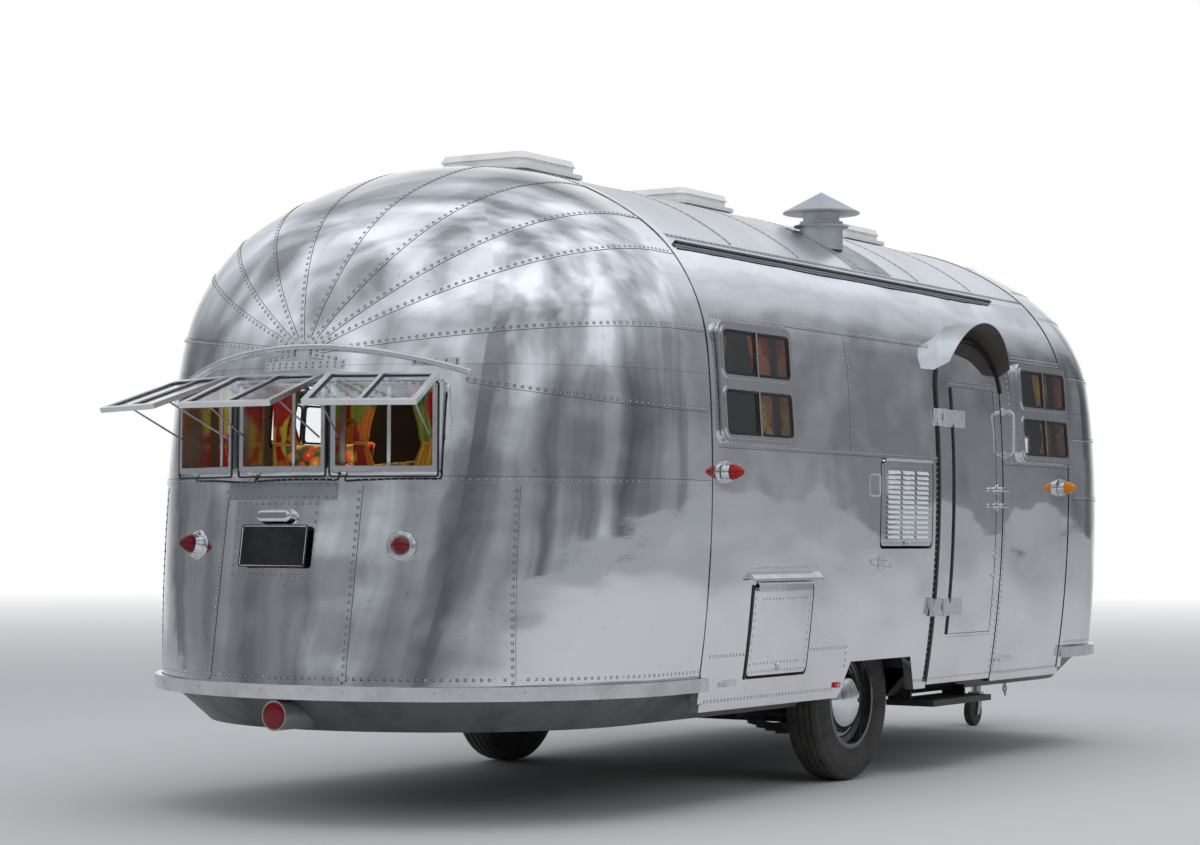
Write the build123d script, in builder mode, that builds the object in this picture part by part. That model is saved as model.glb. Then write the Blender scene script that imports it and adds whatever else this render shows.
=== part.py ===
from build123d import *
from math import acos, asin, atan2, cos, degrees, pi, radians, sin, sqrt, tan
import os

# Riveted aluminium travel trailer, about 6.7 m long, standing on its wheels and jockey wheel.
# X points to the hitch, Y to the left, Z up; the ground is z = 0. The door side is -Y.
# All sizes are in millimetres.

# Body form. The hoops are the two frames between which the body is a plain barrel.
rear_hoop_x = -1969
straight_length = 3490
widest_half = 1100
widest_height = 1240
side_radius = 5200
shoulder_start = 1720
shoulder_radius = 700
roof_height = 2477
wall_thickness = 40
skirt_height = 370
cap_base = 456
cap_side_share = 0.18
cap_turn = 60
front_share = 0.88
awning_height = 2135
cap_split_height = 1632
panel_gap = 0.4

# Sections of the rear end cap, bottom to top.
# Columns: height, depth behind the hoop.
cap_rows = [
    (456, 1274),
    (656, 1244),
    (856, 1214),
    (1056, 1184),
    (1256, 1154),
    (1456, 1124),
    (1650, 1088),
    (1835, 1036),
    (2000, 962),
    (2140, 868),
    (2260, 735),
    (2362, 545),
    (2432, 350),
    (2470, 150),
]

# Underbody
belly_bottom = 330
belly_inset = 6
belly_slope_end = 172
belly_slope_side = 120
belly_wall = 5
chassis_bottom = 376
floor_thickness = 36
floor_joint = 0.5
rub_rail_height = 50
rub_rail_depth = 26

# Running gear
wheel_x = rear_hoop_x + 1510
tyre_radius = 338
tyre_width = 172
tyre_centre_y = 842
rim_radius = 204
rim_width = 140
rim_wall = 4
rim_well_radius = 168
hub_radius = 62
hub_bore = 21
spindle_radius = 20.7
hubcap_radius = 128
hubcap_depth = 58
axle_radius = 32
spring_length = 760
spring_width = 48
spring_leaf = 9
spring_y = 600
spring_count = 4
arch_top = 515
arch_top_half = 285
arch_base_half = 385
housing_wall = 6
housing_top = 745
housing_half_length = 430
housing_inner_y = 705

# Chassis and drawbar
rail_y = 560
rail_width = 60
rail_rear_x = rear_hoop_x - 780
drawbar_width = 52
drawbar_tall = 72
front_hoop_x = rear_hoop_x + straight_length
drawbar_spread_x = front_hoop_x + 70
nose_x = front_hoop_x + front_share * cap_rows[0][1]
coupler_x = nose_x + 830
ball_socket_radius = 25.4
coupler_length = 240

# Safety chains
chain_wire_radius = 3
chain_link_length = 36
chain_link_width = 22
chain_pitch = 23.5

# Jockey wheel
jockey_x = nose_x + 250
jockey_wheel_radius = 80
jockey_wheel_width = 44
jockey_trail = 46
jockey_axle_radius = 8
jockey_tube_radius = 26
jockey_tube_top = 860
jockey_stem_radius = 17
jockey_fork_plate = 6

# Windows. The opening is cut square to the skin at the window's middle.
window_frame = 18
window_depth = 62
window_proud = 16
window_round = 46
glass_thickness = 4
side_window_width = 590
side_window_height = 462
side_window_z = 1608
side_window_bar = 30
side_sash_frame = 13
side_sash_bar = 12
# Columns: middle, side (-1 is the door side)
side_windows = [
    (rear_hoop_x + 325, -1),
    (front_hoop_x - 330, -1),
    (rear_hoop_x + 325, 1),
    (rear_hoop_x + 1760, 1),
    (front_hoop_x - 330, 1),
]
end_window_width = 392
end_window_height = 328
end_window_z = 1413
end_window_angle = 21
end_window_step = 418
end_window_proud = 44
end_window_depth = 120
end_window_frame = 20
end_window_round = 12
sash_frame = 22
sash_depth = 18
sash_open = 70
sash_hinge_gap = 6
sash_hinge_radius = 8
sash_bar = 14
stay_radius = 3.5

# Roof fittings
awning_start = 45
awning_length = 2950
roof_hatch_size = 400
roof_hatch_xs = [rear_hoop_x + 240, rear_hoop_x + 1500, front_hoop_x - 450]
flue_x = rear_hoop_x + 1790
flue_y = -620
flue_radius = 95
flue_neck_radius = 80
flue_cap_radius = 169
flue_ring_up = 66
flue_cap_up = 122
flue_rise = 219
flue_sunk = 40

# Furnishings
curtain_thickness = 14
curtain_rod_radius = 5
curtain_rod_up = 6
end_curtain_in = 92
side_curtain_in = 62
loose_cushion_y = -20
loose_cushion_wide = 460
loose_cushion_tall = 275

# Entrance door, hinged at its rear edge
door_x = rear_hoop_x + 1998
door_width = 672
door_bottom = 385
door_top = 1900
door_round = 250
door_gap = 8
door_free_gap = 13
door_hinge_out = 17
door_hinge_radius = 11
door_hinge_height = 76
door_hinge_leaf = 265
door_hinge_foot = 66
door_hinge_zs = [722, 1551]
door_panel_x = door_x + 372
door_panel_width = 470
door_panel_bottom = 600
door_panel_top = 1700
door_panel_groove = 7
latch_z = 1246
lock_z = 1172
hood_rise = 84
hood_thickness = 5
hood_foot_out = 1140
hood_foot_lift = 34
hood_head_out = 1172

# Lower hatch and louvred panel, both hinged at the top
hatch_x = rear_hoop_x + 580
hatch_width = 506
hatch_bottom = 478
hatch_top = 846
panel_x = rear_hoop_x + 1662
panel_width = 520
panel_bottom = 978
panel_top = 1352
lid_gap = 8
lid_free_gap = 12
lid_thickness = 30
lid_round = 26
lid_hinge_out = 9
lid_hinge_radius = 6
louvre_columns = 3
louvre_rows = 14
louvre_pitch_x = 140
louvre_pitch_z = 21
louvre_length = 118
louvre_rise = 15
louvre_proud = 7
louvre_slit = 5
louvre_skin = 4


def half_width(z, inset=0):
    """Half width of the hoop at a height, by its side, shoulder and crown arcs."""
    side = side_radius - inset
    side_y = widest_half - side_radius
    if z <= shoulder_start_z(inset):
        return side_y + sqrt(side ** 2 - (z - widest_height) ** 2)
    if z <= crown_start(inset)[1]:
        return shoulder_y + sqrt((shoulder_radius - inset) ** 2 - (z - shoulder_z) ** 2)
    return sqrt(max((crown_radius - inset) ** 2 - (z - crown_z) ** 2, 0))


lean = asin((shoulder_start - widest_height) / side_radius)
shoulder_y = widest_half - side_radius + (side_radius - shoulder_radius) * cos(lean)
shoulder_z = widest_height + (side_radius - shoulder_radius) * sin(lean)
drop = roof_height - shoulder_z
crown_radius = (shoulder_y ** 2 + drop ** 2 - shoulder_radius ** 2) / (2 * (drop - shoulder_radius))
crown_z = roof_height - crown_radius
crown_turn = atan2(shoulder_y, shoulder_z - crown_z)


def shoulder_start_z(inset=0):
    return widest_height + (side_radius - inset) * sin(lean)


def crown_start(inset=0):
    reach = crown_radius - inset
    return reach * sin(crown_turn), crown_z + reach * cos(crown_turn)


def hoop_outline(base, inset=0):
    """Closed outline of a hoop section in the YZ plane, as lines and tangent arcs."""
    start = shoulder_start_z(inset)
    crown = crown_start(inset)
    middle = (start + base) / 2
    bend = (lean + pi / 2 - crown_turn) / 2
    reach = shoulder_radius - inset
    elbow = (shoulder_y + reach * cos(bend), shoulder_z + reach * sin(bend))
    for s in (1, -1):
        low = (s * half_width(base, inset), base)
        waist = (s * half_width(middle, inset), middle)
        high = (s * half_width(start, inset), start)
        ThreePointArc(low, waist, high)
        ThreePointArc(high, (s * elbow[0], elbow[1]), (s * crown[0], crown[1]))
    ThreePointArc((crown[0], crown[1]), (0, roof_height - inset), (-crown[0], crown[1]))
    Line((half_width(base, inset), base), (-half_width(base, inset), base))


def cap_outline(half, depth, run, hoop, way):
    """Half plan of an end cap: a short straight run, a corner arc and one end arc."""
    s, c = sin(radians(cap_turn)), cos(radians(cap_turn))
    corner = (depth - run - half * (1 - s) / c) / (s - (1 - c) * (1 - s) / c)
    end = (half - corner * (1 - c)) / c
    side = hoop + way * run
    knee = (side + way * corner * s, half - corner * (1 - c))
    t = radians(cap_turn / 2)
    mid = (side + way * corner * sin(t), half - corner * (1 - cos(t)))
    Line((hoop, -half), (hoop, half))
    for k in (1, -1):
        Line((hoop, k * half), (side, k * half))
        ThreePointArc((side, k * half), (mid[0], k * mid[1]), (knee[0], k * knee[1]))
    ThreePointArc(knee, (hoop + way * depth, 0), (knee[0], -knee[1]))


def cap_sections(share, inset):
    """Rows of height, half width, depth and straight run, moved in along the end's own normal."""
    rows = []
    last = len(cap_rows) - 1
    for i, (z, depth) in enumerate(cap_rows):
        low = cap_rows[max(i - 1, 0)]
        high = cap_rows[min(i + 1, last)]
        rise = high[0] - low[0]
        back = (low[1] - high[1]) * share
        length = sqrt(rise ** 2 + back ** 2)
        z_in = z - inset * back / length
        if inset and i == 0:
            z_in = z - 30
        depth_in = depth * share - inset * rise / length
        rows.append((z_in, half_width(z_in, inset), depth_in, cap_side_share * depth * share))
    return rows


def skin_plane(x, z, side, out=0):
    """Plane square to the side wall, its normal pointing out of the body."""
    if z <= shoulder_start:
        tilt = asin((z - widest_height) / side_radius)
    else:
        tilt = asin((z - shoulder_z) / shoulder_radius)
    normal = (0, side * cos(tilt), sin(tilt))
    origin = (x, side * (half_width(z) + out * cos(tilt)), z + out * sin(tilt))
    return Plane(origin=origin, x_dir=(1, 0, 0), z_dir=normal)


hoops = {"rear": (rear_hoop_x, -1, 1.0), "front": (front_hoop_x, 1, front_share)}


def end_point(hoop, way, share, y):
    """Outer face of an end cap at window height, at a distance y from the middle."""
    for (za, a), (zb, b) in zip(cap_rows, cap_rows[1:]):
        if za <= end_window_z <= zb:
            depth = share * (a + (b - a) * (end_window_z - za) / (zb - za))
    run = cap_side_share * depth
    half = half_width(end_window_z)
    s, c = sin(radians(cap_turn)), cos(radians(cap_turn))
    corner = (depth - run - half * (1 - s) / c) / (s - (1 - c) * (1 - s) / c)
    end = (half - corner * (1 - c)) / c
    return hoop + way * (depth - end + sqrt(end ** 2 - y ** 2))


def end_window_planes(hoop, way, share):
    """Planes of the three flat windows of one end, normals pointing out."""
    planes = []
    for k in (-1, 0, 1):
        turn = radians(end_window_angle) * k
        y = k * end_window_step * cos(turn)
        x = end_point(hoop, way, share, y) + way * end_window_proud * 0.5
        normal = (way * cos(turn), sin(turn), 0)
        side = (-sin(turn), way * cos(turn), 0)
        planes.append(Plane(origin=(x, y, end_window_z), x_dir=side, z_dir=normal))
    return planes


def save(piece, name):
    piece.part.label = name
    export_step(piece.part, f"parts/{name}.step")


os.makedirs("parts", exist_ok=True)

# Barrel between the hoops, then the two walls and the roof cut from it.
with BuildPart() as barrel:
    with BuildSketch(Plane.YZ.offset(rear_hoop_x + panel_gap)):
        with BuildLine():
            hoop_outline(skirt_height)
        make_face()
    extrude(amount=straight_length - 2 * panel_gap)
    with BuildSketch(Plane.YZ.offset(rear_hoop_x - 1)):
        with BuildLine():
            hoop_outline(skirt_height - 20, wall_thickness)
        make_face()
    extrude(amount=straight_length + 2, mode=Mode.SUBTRACT)

with BuildPart() as roof:
    add(barrel.part)
    split(bisect_by=Plane.XY.offset(awning_height + panel_gap), keep=Keep.TOP)


def door_outline(grow_rear, grow_front, grow_top, grow_bottom):
    """Door outline on an XZ sketch: square foot, arched head."""
    low, high = door_x - grow_rear, door_x + door_width + grow_front
    foot, head = door_bottom - grow_bottom, door_top + grow_top
    spring = head - door_round
    middle = (low + high) / 2
    t = sin(radians(45))
    reach = (high - low) / 2
    Line((low, foot), (high, foot))
    Line((low, foot), (low, spring))
    Line((high, foot), (high, spring))
    bend = door_round * t
    flat = max(reach - door_round, 1)
    ThreePointArc((low, spring), (low + door_round - bend, spring + bend), (middle - flat, head))
    ThreePointArc((high, spring), (high - door_round + bend, spring + bend), (middle + flat, head))
    Line((middle - flat, head), (middle + flat, head))


def arch_outline(grow=0):
    """Wheel opening on an XZ sketch: flat top and sloped ends."""
    base = skirt_height - 40
    Polyline(
        (wheel_x - arch_base_half - grow, base),
        (wheel_x + arch_base_half + grow, base),
        (wheel_x + arch_top_half + grow, arch_top + grow),
        (wheel_x - arch_top_half - grow, arch_top + grow),
        close=True,
    )


lids = {
    "hatch": (hatch_x, hatch_width, hatch_bottom, hatch_top),
    "vent_panel": (panel_x, panel_width, panel_bottom, panel_top),
}


def lid_plane(x, bottom, top):
    return skin_plane(x, (bottom + top) / 2, -1)


for name, side in (("wall_left", 1), ("wall_right", -1)):
    with BuildPart() as wall:
        add(barrel.part)
        split(bisect_by=Plane.XY.offset(awning_height - panel_gap), keep=Keep.BOTTOM)
        split(bisect_by=Plane.XZ, keep=Keep.TOP if side < 0 else Keep.BOTTOM)
        with BuildSketch(Plane.XZ.offset(-side * widest_half)):
            with BuildLine():
                arch_outline()
            make_face()
        extrude(amount=250, both=True, mode=Mode.SUBTRACT)
        for x, where in side_windows:
            if where == side:
                with BuildSketch(skin_plane(x, side_window_z, side)):
                    RectangleRounded(side_window_width, side_window_height, window_round)
                extrude(amount=120, both=True, mode=Mode.SUBTRACT)
        if side < 0:
            with BuildSketch(Plane.XZ.offset(widest_half)):
                with BuildLine():
                    door_outline(door_gap, door_free_gap, door_gap, 60)
                make_face()
            extrude(amount=200, both=True, mode=Mode.SUBTRACT)
            for x, width, bottom, top in lids.values():
                with BuildSketch(lid_plane(x, bottom, top)):
                    RectangleRounded(width, top - bottom, lid_round)
                extrude(amount=90, both=True, mode=Mode.SUBTRACT)
    save(wall, name)

save(roof, "roof")

# End caps: an outer loft less an inner loft, split into a lower wall and an upper shell.
cap_planes = {}
outer_shells = {}
for end, (hoop, way, share) in hoops.items():
    cap_planes[end] = end_window_planes(hoop, way, share)
    with BuildPart() as shell:
        for z, half, depth, run in cap_sections(share, 0):
            with BuildSketch(Plane.XY.offset(z)):
                with BuildLine():
                    cap_outline(half, depth, run, hoop, way)
                make_face()
        loft()
    outer_shells[end] = shell.part
    with BuildPart() as core:
        for z, half, depth, run in cap_sections(share, wall_thickness):
            with BuildSketch(Plane.XY.offset(z)):
                with BuildLine():
                    cap_outline(half, depth, run, hoop, way)
                make_face()
        loft()
    with BuildPart() as hollow:
        add(shell.part)
        add(core.part, mode=Mode.SUBTRACT)
    with BuildPart() as upper:
        add(hollow.part)
        split(bisect_by=Plane.XY.offset(cap_split_height + panel_gap), keep=Keep.TOP)
    save(upper, f"{end}_cap_upper")
    with BuildPart() as lower:
        add(hollow.part)
        split(bisect_by=Plane.XY.offset(cap_split_height - panel_gap), keep=Keep.BOTTOM)
        for plane in cap_planes[end]:
            with BuildSketch(plane):
                RectangleRounded(end_window_width, end_window_height, end_window_round)
            extrude(amount=150, both=True, mode=Mode.SUBTRACT)
    save(lower, f"{end}_cap_lower")


def body_plan(half, rear_depth, front_depth, run_rear, run_front):
    """Whole plan of the body: both end caps and the straight run between the hoops."""
    with BuildSketch() as plan:
        with BuildLine():
            cap_outline(half, rear_depth, run_rear, rear_hoop_x, -1)
        make_face()
        with BuildLine():
            cap_outline(half, front_depth, run_front, front_hoop_x, 1)
        make_face()
        with Locations(((rear_hoop_x + front_hoop_x) / 2, 0)):
            Rectangle(straight_length, 2 * half)
    return plan.sketch


rear_base = cap_rows[0][1]
front_base = rear_base * front_share
rear_run = cap_side_share * rear_base
front_run = cap_side_share * front_base
floor_half = half_width(cap_base + 2, wall_thickness) - 1
floor_top = cap_base + 2 + floor_thickness

# Floor deck of three sheets inside the walls, with its two wheel cut-outs.
with BuildPart() as floor:
    with BuildSketch(Plane.XY.offset(cap_base + 2)):
        add(body_plan(floor_half, rear_base - wall_thickness - 12, front_base - wall_thickness - 12,
                      rear_run, front_run))
    extrude(amount=floor_thickness)
    with Locations((wheel_x, widest_half, cap_base), (wheel_x, -widest_half, cap_base)):
        Box(2 * housing_half_length + 1, 2 * (widest_half - housing_inner_y) + 1, 200,
            mode=Mode.SUBTRACT)
    with Locations((rear_hoop_x, 0, floor_top), (front_hoop_x, 0, floor_top)):
        Box(floor_joint, 3 * widest_half, 200, mode=Mode.SUBTRACT)
save(floor, "floor")

# Sheet housings over the wheels, open below and towards the wall.
with BuildPart() as housings:
    for s in (1, -1):
        outer_y = floor_half - 4
        depth = outer_y - housing_inner_y
        height = housing_top - cap_base
        with Locations((wheel_x, s * (housing_inner_y + depth / 2), cap_base + height / 2)):
            Box(2 * housing_half_length, depth, height)
        with Locations((wheel_x, s * (housing_inner_y + depth / 2 + housing_wall),
                        cap_base + height / 2 - housing_wall)):
            Box(2 * (housing_half_length - housing_wall), depth, height, mode=Mode.SUBTRACT)
save(housings, "wheel_housings")

# Belly: a flat pan under the chassis and sloped wraps up to the rub rails.
belly_half = half_width(skirt_height, wall_thickness) - 2
belly_split = belly_bottom + belly_wall
drawbar_end = (coupler_x - coupler_length + 30, 44)


def drawbar_sketch(width):
    """Plan of the two converging drawbar members."""
    for s in (1, -1):
        run = drawbar_end[0] - drawbar_spread_x
        fall = rail_y - drawbar_end[1]
        angle = degrees(atan2(-s * fall, run))
        with Locations(((drawbar_end[0] + drawbar_spread_x) / 2, s * (rail_y + drawbar_end[1]) / 2)):
            Rectangle(sqrt(run ** 2 + fall ** 2), width, rotation=angle)


def belly_level(z, inset):
    """Plan of the belly at a height between its rim and its flat bottom."""
    down = (cap_base - z) / (cap_base - belly_bottom)
    end = belly_inset + down * belly_slope_end + inset
    return body_plan(belly_half - down * belly_slope_side - inset, rear_base - end, front_base - end,
                     rear_run, front_run)


with BuildPart() as tray:
    for z in (cap_base, belly_bottom):
        with BuildSketch(Plane.XY.offset(z)):
            add(belly_level(z, 0))
    loft(ruled=True)
with BuildPart() as tray_core:
    for z in (cap_base + 1, belly_bottom - 1):
        with BuildSketch(Plane.XY.offset(z)):
            add(belly_level(z, belly_wall * 1.7))
    loft(ruled=True)
with BuildPart() as wheel_bays:
    with Locations((wheel_x, widest_half, cap_base), (wheel_x, -widest_half, cap_base)):
        Box(2 * housing_half_length, 2 * (widest_half - housing_inner_y), 400)

with BuildPart() as belly:
    add(tray.part)
    split(bisect_by=Plane.XY.offset(belly_split), keep=Keep.BOTTOM)
    add(wheel_bays.part, mode=Mode.SUBTRACT)
save(belly, "belly_pan")

tube_x = rear_hoop_x - 1300
tube_y, tube_z = -61, 392
tube_radius = 53
tube_length = 400
with BuildPart() as wraps:
    add(tray.part)
    add(tray_core.part, mode=Mode.SUBTRACT)
    split(bisect_by=Plane.XY.offset(belly_split), keep=Keep.TOP)
    add(wheel_bays.part, mode=Mode.SUBTRACT)
    with BuildSketch(Plane.XY.offset(chassis_bottom - 3)):
        drawbar_sketch(drawbar_width + 6)
    extrude(amount=drawbar_tall + 40, mode=Mode.SUBTRACT)
    with Locations((tube_x + tube_length / 2, tube_y, tube_z)):
        Cylinder(tube_radius, tube_length, rotation=(0, 90, 0), mode=Mode.SUBTRACT)
save(wraps, "belly_wraps")

# Rub rails round both ends, just above the belly pan.
with BuildPart() as rub_rails:
    for hoop, way, share in hoops.values():
        half = half_width(cap_base + rub_rail_height)
        depth = rear_base * share
        run = cap_side_share * depth
        with BuildSketch(Plane.XY.offset(cap_base - 6)):
            with BuildLine():
                cap_outline(half + rub_rail_depth, depth + rub_rail_depth, run, hoop, way)
            make_face()
            with BuildLine():
                cap_outline(half + 1, depth + 1, run, hoop, way)
            make_face(mode=Mode.SUBTRACT)
        extrude(amount=rub_rail_height)
save(rub_rails, "rub_rails")

# Chassis: two rails, cross members and the drawbar, welded into one frame.
with BuildPart() as chassis:
    with BuildSketch(Plane.XY.offset(chassis_bottom)):
        drawbar_sketch(drawbar_width)
    extrude(amount=drawbar_tall)
    with BuildSketch(Plane.XY.offset(chassis_bottom)):
        for s in (1, -1):
            with Locations(((rail_rear_x + drawbar_spread_x) / 2, s * rail_y)):
                Rectangle(drawbar_spread_x - rail_rear_x + 60, rail_width)
        for x in (rail_rear_x + 30, wheel_x - 520, wheel_x + 520, drawbar_spread_x):
            with Locations((x, 0)):
                Rectangle(rail_width, 2 * rail_y)
    extrude(amount=cap_base + 2 - chassis_bottom)
save(chassis, "chassis_frame")

# Coupler: a cast head over the ball socket, bolted between the drawbar members.
socket_z = chassis_bottom + 30
with BuildPart() as coupler:
    with BuildSketch(Plane.XY.offset(chassis_bottom + drawbar_tall)):
        with Locations((coupler_x - coupler_length / 2 - 20, 0)):
            Rectangle(coupler_length, 96)
    extrude(amount=8)
    with BuildSketch(Plane.XY.offset(chassis_bottom + 6)):
        with Locations((coupler_x, 0)):
            Circle(42)
        with Locations((coupler_x - 60, 0)):
            Rectangle(120, 64)
    extrude(amount=drawbar_tall + 2)
    fillet(coupler.faces().sort_by(Axis.Z)[-1].edges(), 3)
    with Locations((coupler_x, 0, chassis_bottom + 6)):
        Cylinder(ball_socket_radius, 52, align=(Align.CENTER, Align.CENTER, Align.MIN),
                 mode=Mode.SUBTRACT)
save(coupler, "coupler")

# Jockey wheel: tube and clamp plate on the drawbar, castoring fork, and the wheel.
crown_z_jockey = 2 * jockey_wheel_radius + 22
with BuildPart() as jockey_post:
    with BuildSketch(Plane.XY.offset(chassis_bottom + drawbar_tall)):
        with Locations((jockey_x, 0)):
            Rectangle(120, 330)
    extrude(amount=8)
    with BuildSketch(Plane.XY.offset(crown_z_jockey + 22)):
        with Locations((jockey_x, 0)):
            Circle(jockey_tube_radius)
    extrude(amount=jockey_tube_top - crown_z_jockey - 22)
    with BuildSketch(Plane.XY.offset(crown_z_jockey)):
        with Locations((jockey_x, 0)):
            Circle(jockey_stem_radius + 0.5)
    extrude(amount=440, mode=Mode.SUBTRACT)
    with Locations((jockey_x, 0, jockey_tube_top + 8)):
        Cylinder(34, 16)
    with Locations((jockey_x + 60, 0, jockey_tube_top + 22)):
        Box(150, 18, 12)
    with Locations((jockey_x + 126, 0, jockey_tube_top + 55)):
        Cylinder(9, 78)
save(jockey_post, "jockey_post")

fork_inner = jockey_wheel_width / 2 + 6
jockey_wheel_x = jockey_x - jockey_trail
with BuildPart() as jockey_fork:
    with Locations((jockey_x, 0, crown_z_jockey + 20)):
        Cylinder(jockey_stem_radius, 400, align=(Align.CENTER, Align.CENTER, Align.MIN))
    with BuildSketch(Plane.XZ.offset(-fork_inner - jockey_fork_plate)):
        with BuildLine():
            Polyline(
                (jockey_wheel_x - 16, jockey_wheel_radius - 18),
                (jockey_wheel_x + 18, jockey_wheel_radius - 18),
                (jockey_x + 26, crown_z_jockey),
                (jockey_x - 30, crown_z_jockey),
                close=True,
            )
        make_face()
    extrude(amount=2 * (fork_inner + jockey_fork_plate))
    with Locations((jockey_x - 30, 0, (crown_z_jockey - 12) / 2)):
        Box(240, 2 * fork_inner, crown_z_jockey - 12, mode=Mode.SUBTRACT)
    with Locations((jockey_x, 0, crown_z_jockey + 4)):
        Cylinder(26, 34)
    with Locations((jockey_wheel_x, 0, jockey_wheel_radius)):
        Cylinder(jockey_axle_radius, 2 * (fork_inner + jockey_fork_plate), rotation=(90, 0, 0))
save(jockey_fork, "jockey_fork")

with BuildPart() as jockey_wheel:
    with Locations((jockey_wheel_x, 0, jockey_wheel_radius)):
        Cylinder(jockey_wheel_radius, jockey_wheel_width, rotation=(90, 0, 0))
    fillet(jockey_wheel.edges(), 12)
    with Locations((jockey_wheel_x, 0, jockey_wheel_radius)):
        Cylinder(jockey_axle_radius + 0.4, jockey_wheel_width + 10, rotation=(90, 0, 0),
                 mode=Mode.SUBTRACT)
save(jockey_wheel, "jockey_wheel")

# Road wheels: tyre, pressed rim and domed hubcap, made on the left and mirrored.
hub_plane = Plane(origin=(wheel_x, tyre_centre_y, tyre_radius), x_dir=(0, 1, 0), z_dir=(1, 0, 0))
hub_axis = Axis((wheel_x, tyre_centre_y, tyre_radius), (0, 1, 0))
bead_radius = rim_radius - 14
disc_y = 26
with BuildPart() as tyre_left:
    with BuildSketch(hub_plane):
        with BuildLine():
            bead = rim_width / 2 - rim_wall
            sidewall = tyre_width / 2
            shoulder = sidewall - 18
            bulge = (rim_radius + tyre_radius) / 2 - 4
            Line((-bead, bead_radius), (bead, bead_radius))
            for s in (1, -1):
                Line((s * bead, bead_radius), (s * bead, rim_radius))
                ThreePointArc((s * bead, rim_radius), (s * sidewall, bulge),
                              (s * shoulder, tyre_radius - 9))
            ThreePointArc((-shoulder, tyre_radius - 9), (0, tyre_radius), (shoulder, tyre_radius - 9))
        make_face()
    revolve(axis=hub_axis)
with BuildPart() as rim_left:
    with BuildSketch(hub_plane):
        with BuildLine():
            lip = rim_width / 2
            Polyline(
                (-lip, rim_radius),
                (-lip + rim_wall, rim_radius),
                (-lip + rim_wall, bead_radius),
                (-26, bead_radius),
                (-16, rim_well_radius),
                (16, rim_well_radius),
                (26, bead_radius),
                (lip - rim_wall, bead_radius),
                (lip - rim_wall, rim_radius),
                (lip, rim_radius),
                (lip, bead_radius - rim_wall),
                (28, bead_radius - rim_wall),
                (19, rim_well_radius - rim_wall),
                (19, disc_y - 2 + rim_well_radius - 30 - disc_y),
                (disc_y, rim_well_radius - 46),
                (disc_y, hub_bore),
                (-30, hub_bore),
                (-30, hub_radius),
                (disc_y - 6, hub_radius),
                (disc_y - 6, rim_well_radius - 50),
                (13, rim_well_radius - 34),
                (13, rim_well_radius - rim_wall),
                (-19, rim_well_radius - rim_wall),
                (-28, bead_radius - rim_wall),
                (-lip, bead_radius - rim_wall),
                close=True,
            )
        make_face()
    revolve(axis=hub_axis)
with BuildPart() as hubcap_left:
    with BuildSketch(hub_plane):
        with BuildLine():
            dome = EllipticalCenterArc((disc_y, 0), hubcap_depth, hubcap_radius, start_angle=0, arc_size=90)
            inside = EllipticalCenterArc((disc_y, 0), hubcap_depth - 3, hubcap_radius - 4, start_angle=0,
                                         arc_size=90)
            Line(dome @ 0, inside @ 0)
            Line(dome @ 1, inside @ 1)
        make_face()
    revolve(axis=hub_axis)
for piece, name in ((tyre_left, "tyre"), (rim_left, "rim"), (hubcap_left, "hubcap")):
    save(piece, f"{name}_left")
    with BuildPart() as right:
        mirror(piece.part, about=Plane.XZ)
    save(right, f"{name}_right")

# Dropped axle beam with its spindles and brake drums.
beam_z = belly_bottom - axle_radius - 34
with BuildPart() as axle:
    with Locations((wheel_x, 0, beam_z)):
        Cylinder(axle_radius, 2 * (housing_inner_y + 30), rotation=(90, 0, 0))
    for s in (1, -1):
        with Locations((wheel_x, s * (housing_inner_y + 16), (beam_z - 45 + tyre_radius) / 2)):
            Box(76, 30, tyre_radius - beam_z + 45)
        with Locations((wheel_x, s * 738, tyre_radius)):
            Cylinder(118, 44, rotation=(90, 0, 0))
        with Locations((wheel_x, s * 788, tyre_radius)):
            Cylinder(spindle_radius, 160, rotation=(90, 0, 0))
save(axle, "axle")

# Semi-elliptic springs below the axle, with hangers up to the chassis rails.
spring_bow = 1500
spring_low = beam_z - axle_radius
with BuildPart() as springs:
    for s in (1, -1):
        with BuildSketch(Plane.XZ.offset(-s * spring_y - spring_width / 2)):
            for k in range(spring_count):
                half_run = spring_length / 2 - k * 78
                outer = spring_bow + k * spring_leaf
                inner = outer + spring_leaf
                cz = spring_low + spring_bow
                turn = asin(half_run / spring_bow)
                with BuildLine():
                    a = (wheel_x - outer * sin(turn), cz - outer * cos(turn))
                    b = (wheel_x + outer * sin(turn), cz - outer * cos(turn))
                    c = (wheel_x + inner * sin(turn), cz - inner * cos(turn))
                    d = (wheel_x - inner * sin(turn), cz - inner * cos(turn))
                    ThreePointArc(a, (wheel_x, cz - outer), b)
                    Line(b, c)
                    ThreePointArc(c, (wheel_x, cz - inner), d)
                    Line(d, a)
                make_face()
            eye_z = spring_low + spring_bow - spring_bow * cos(asin(spring_length / 2 / spring_bow))
            for e in (1, -1):
                with Locations((wheel_x + e * (spring_length / 2 + 8), eye_z + 2)):
                    Circle(19)
                with Locations((wheel_x + e * (spring_length / 2 + 8), (eye_z + belly_bottom) / 2)):
                    Rectangle(34, belly_bottom - eye_z)
            with Locations((wheel_x, spring_low - spring_count * spring_leaf - 4)):
                Rectangle(110, 12)
        extrude(amount=spring_width)
save(springs, "leaf_springs")

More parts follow.
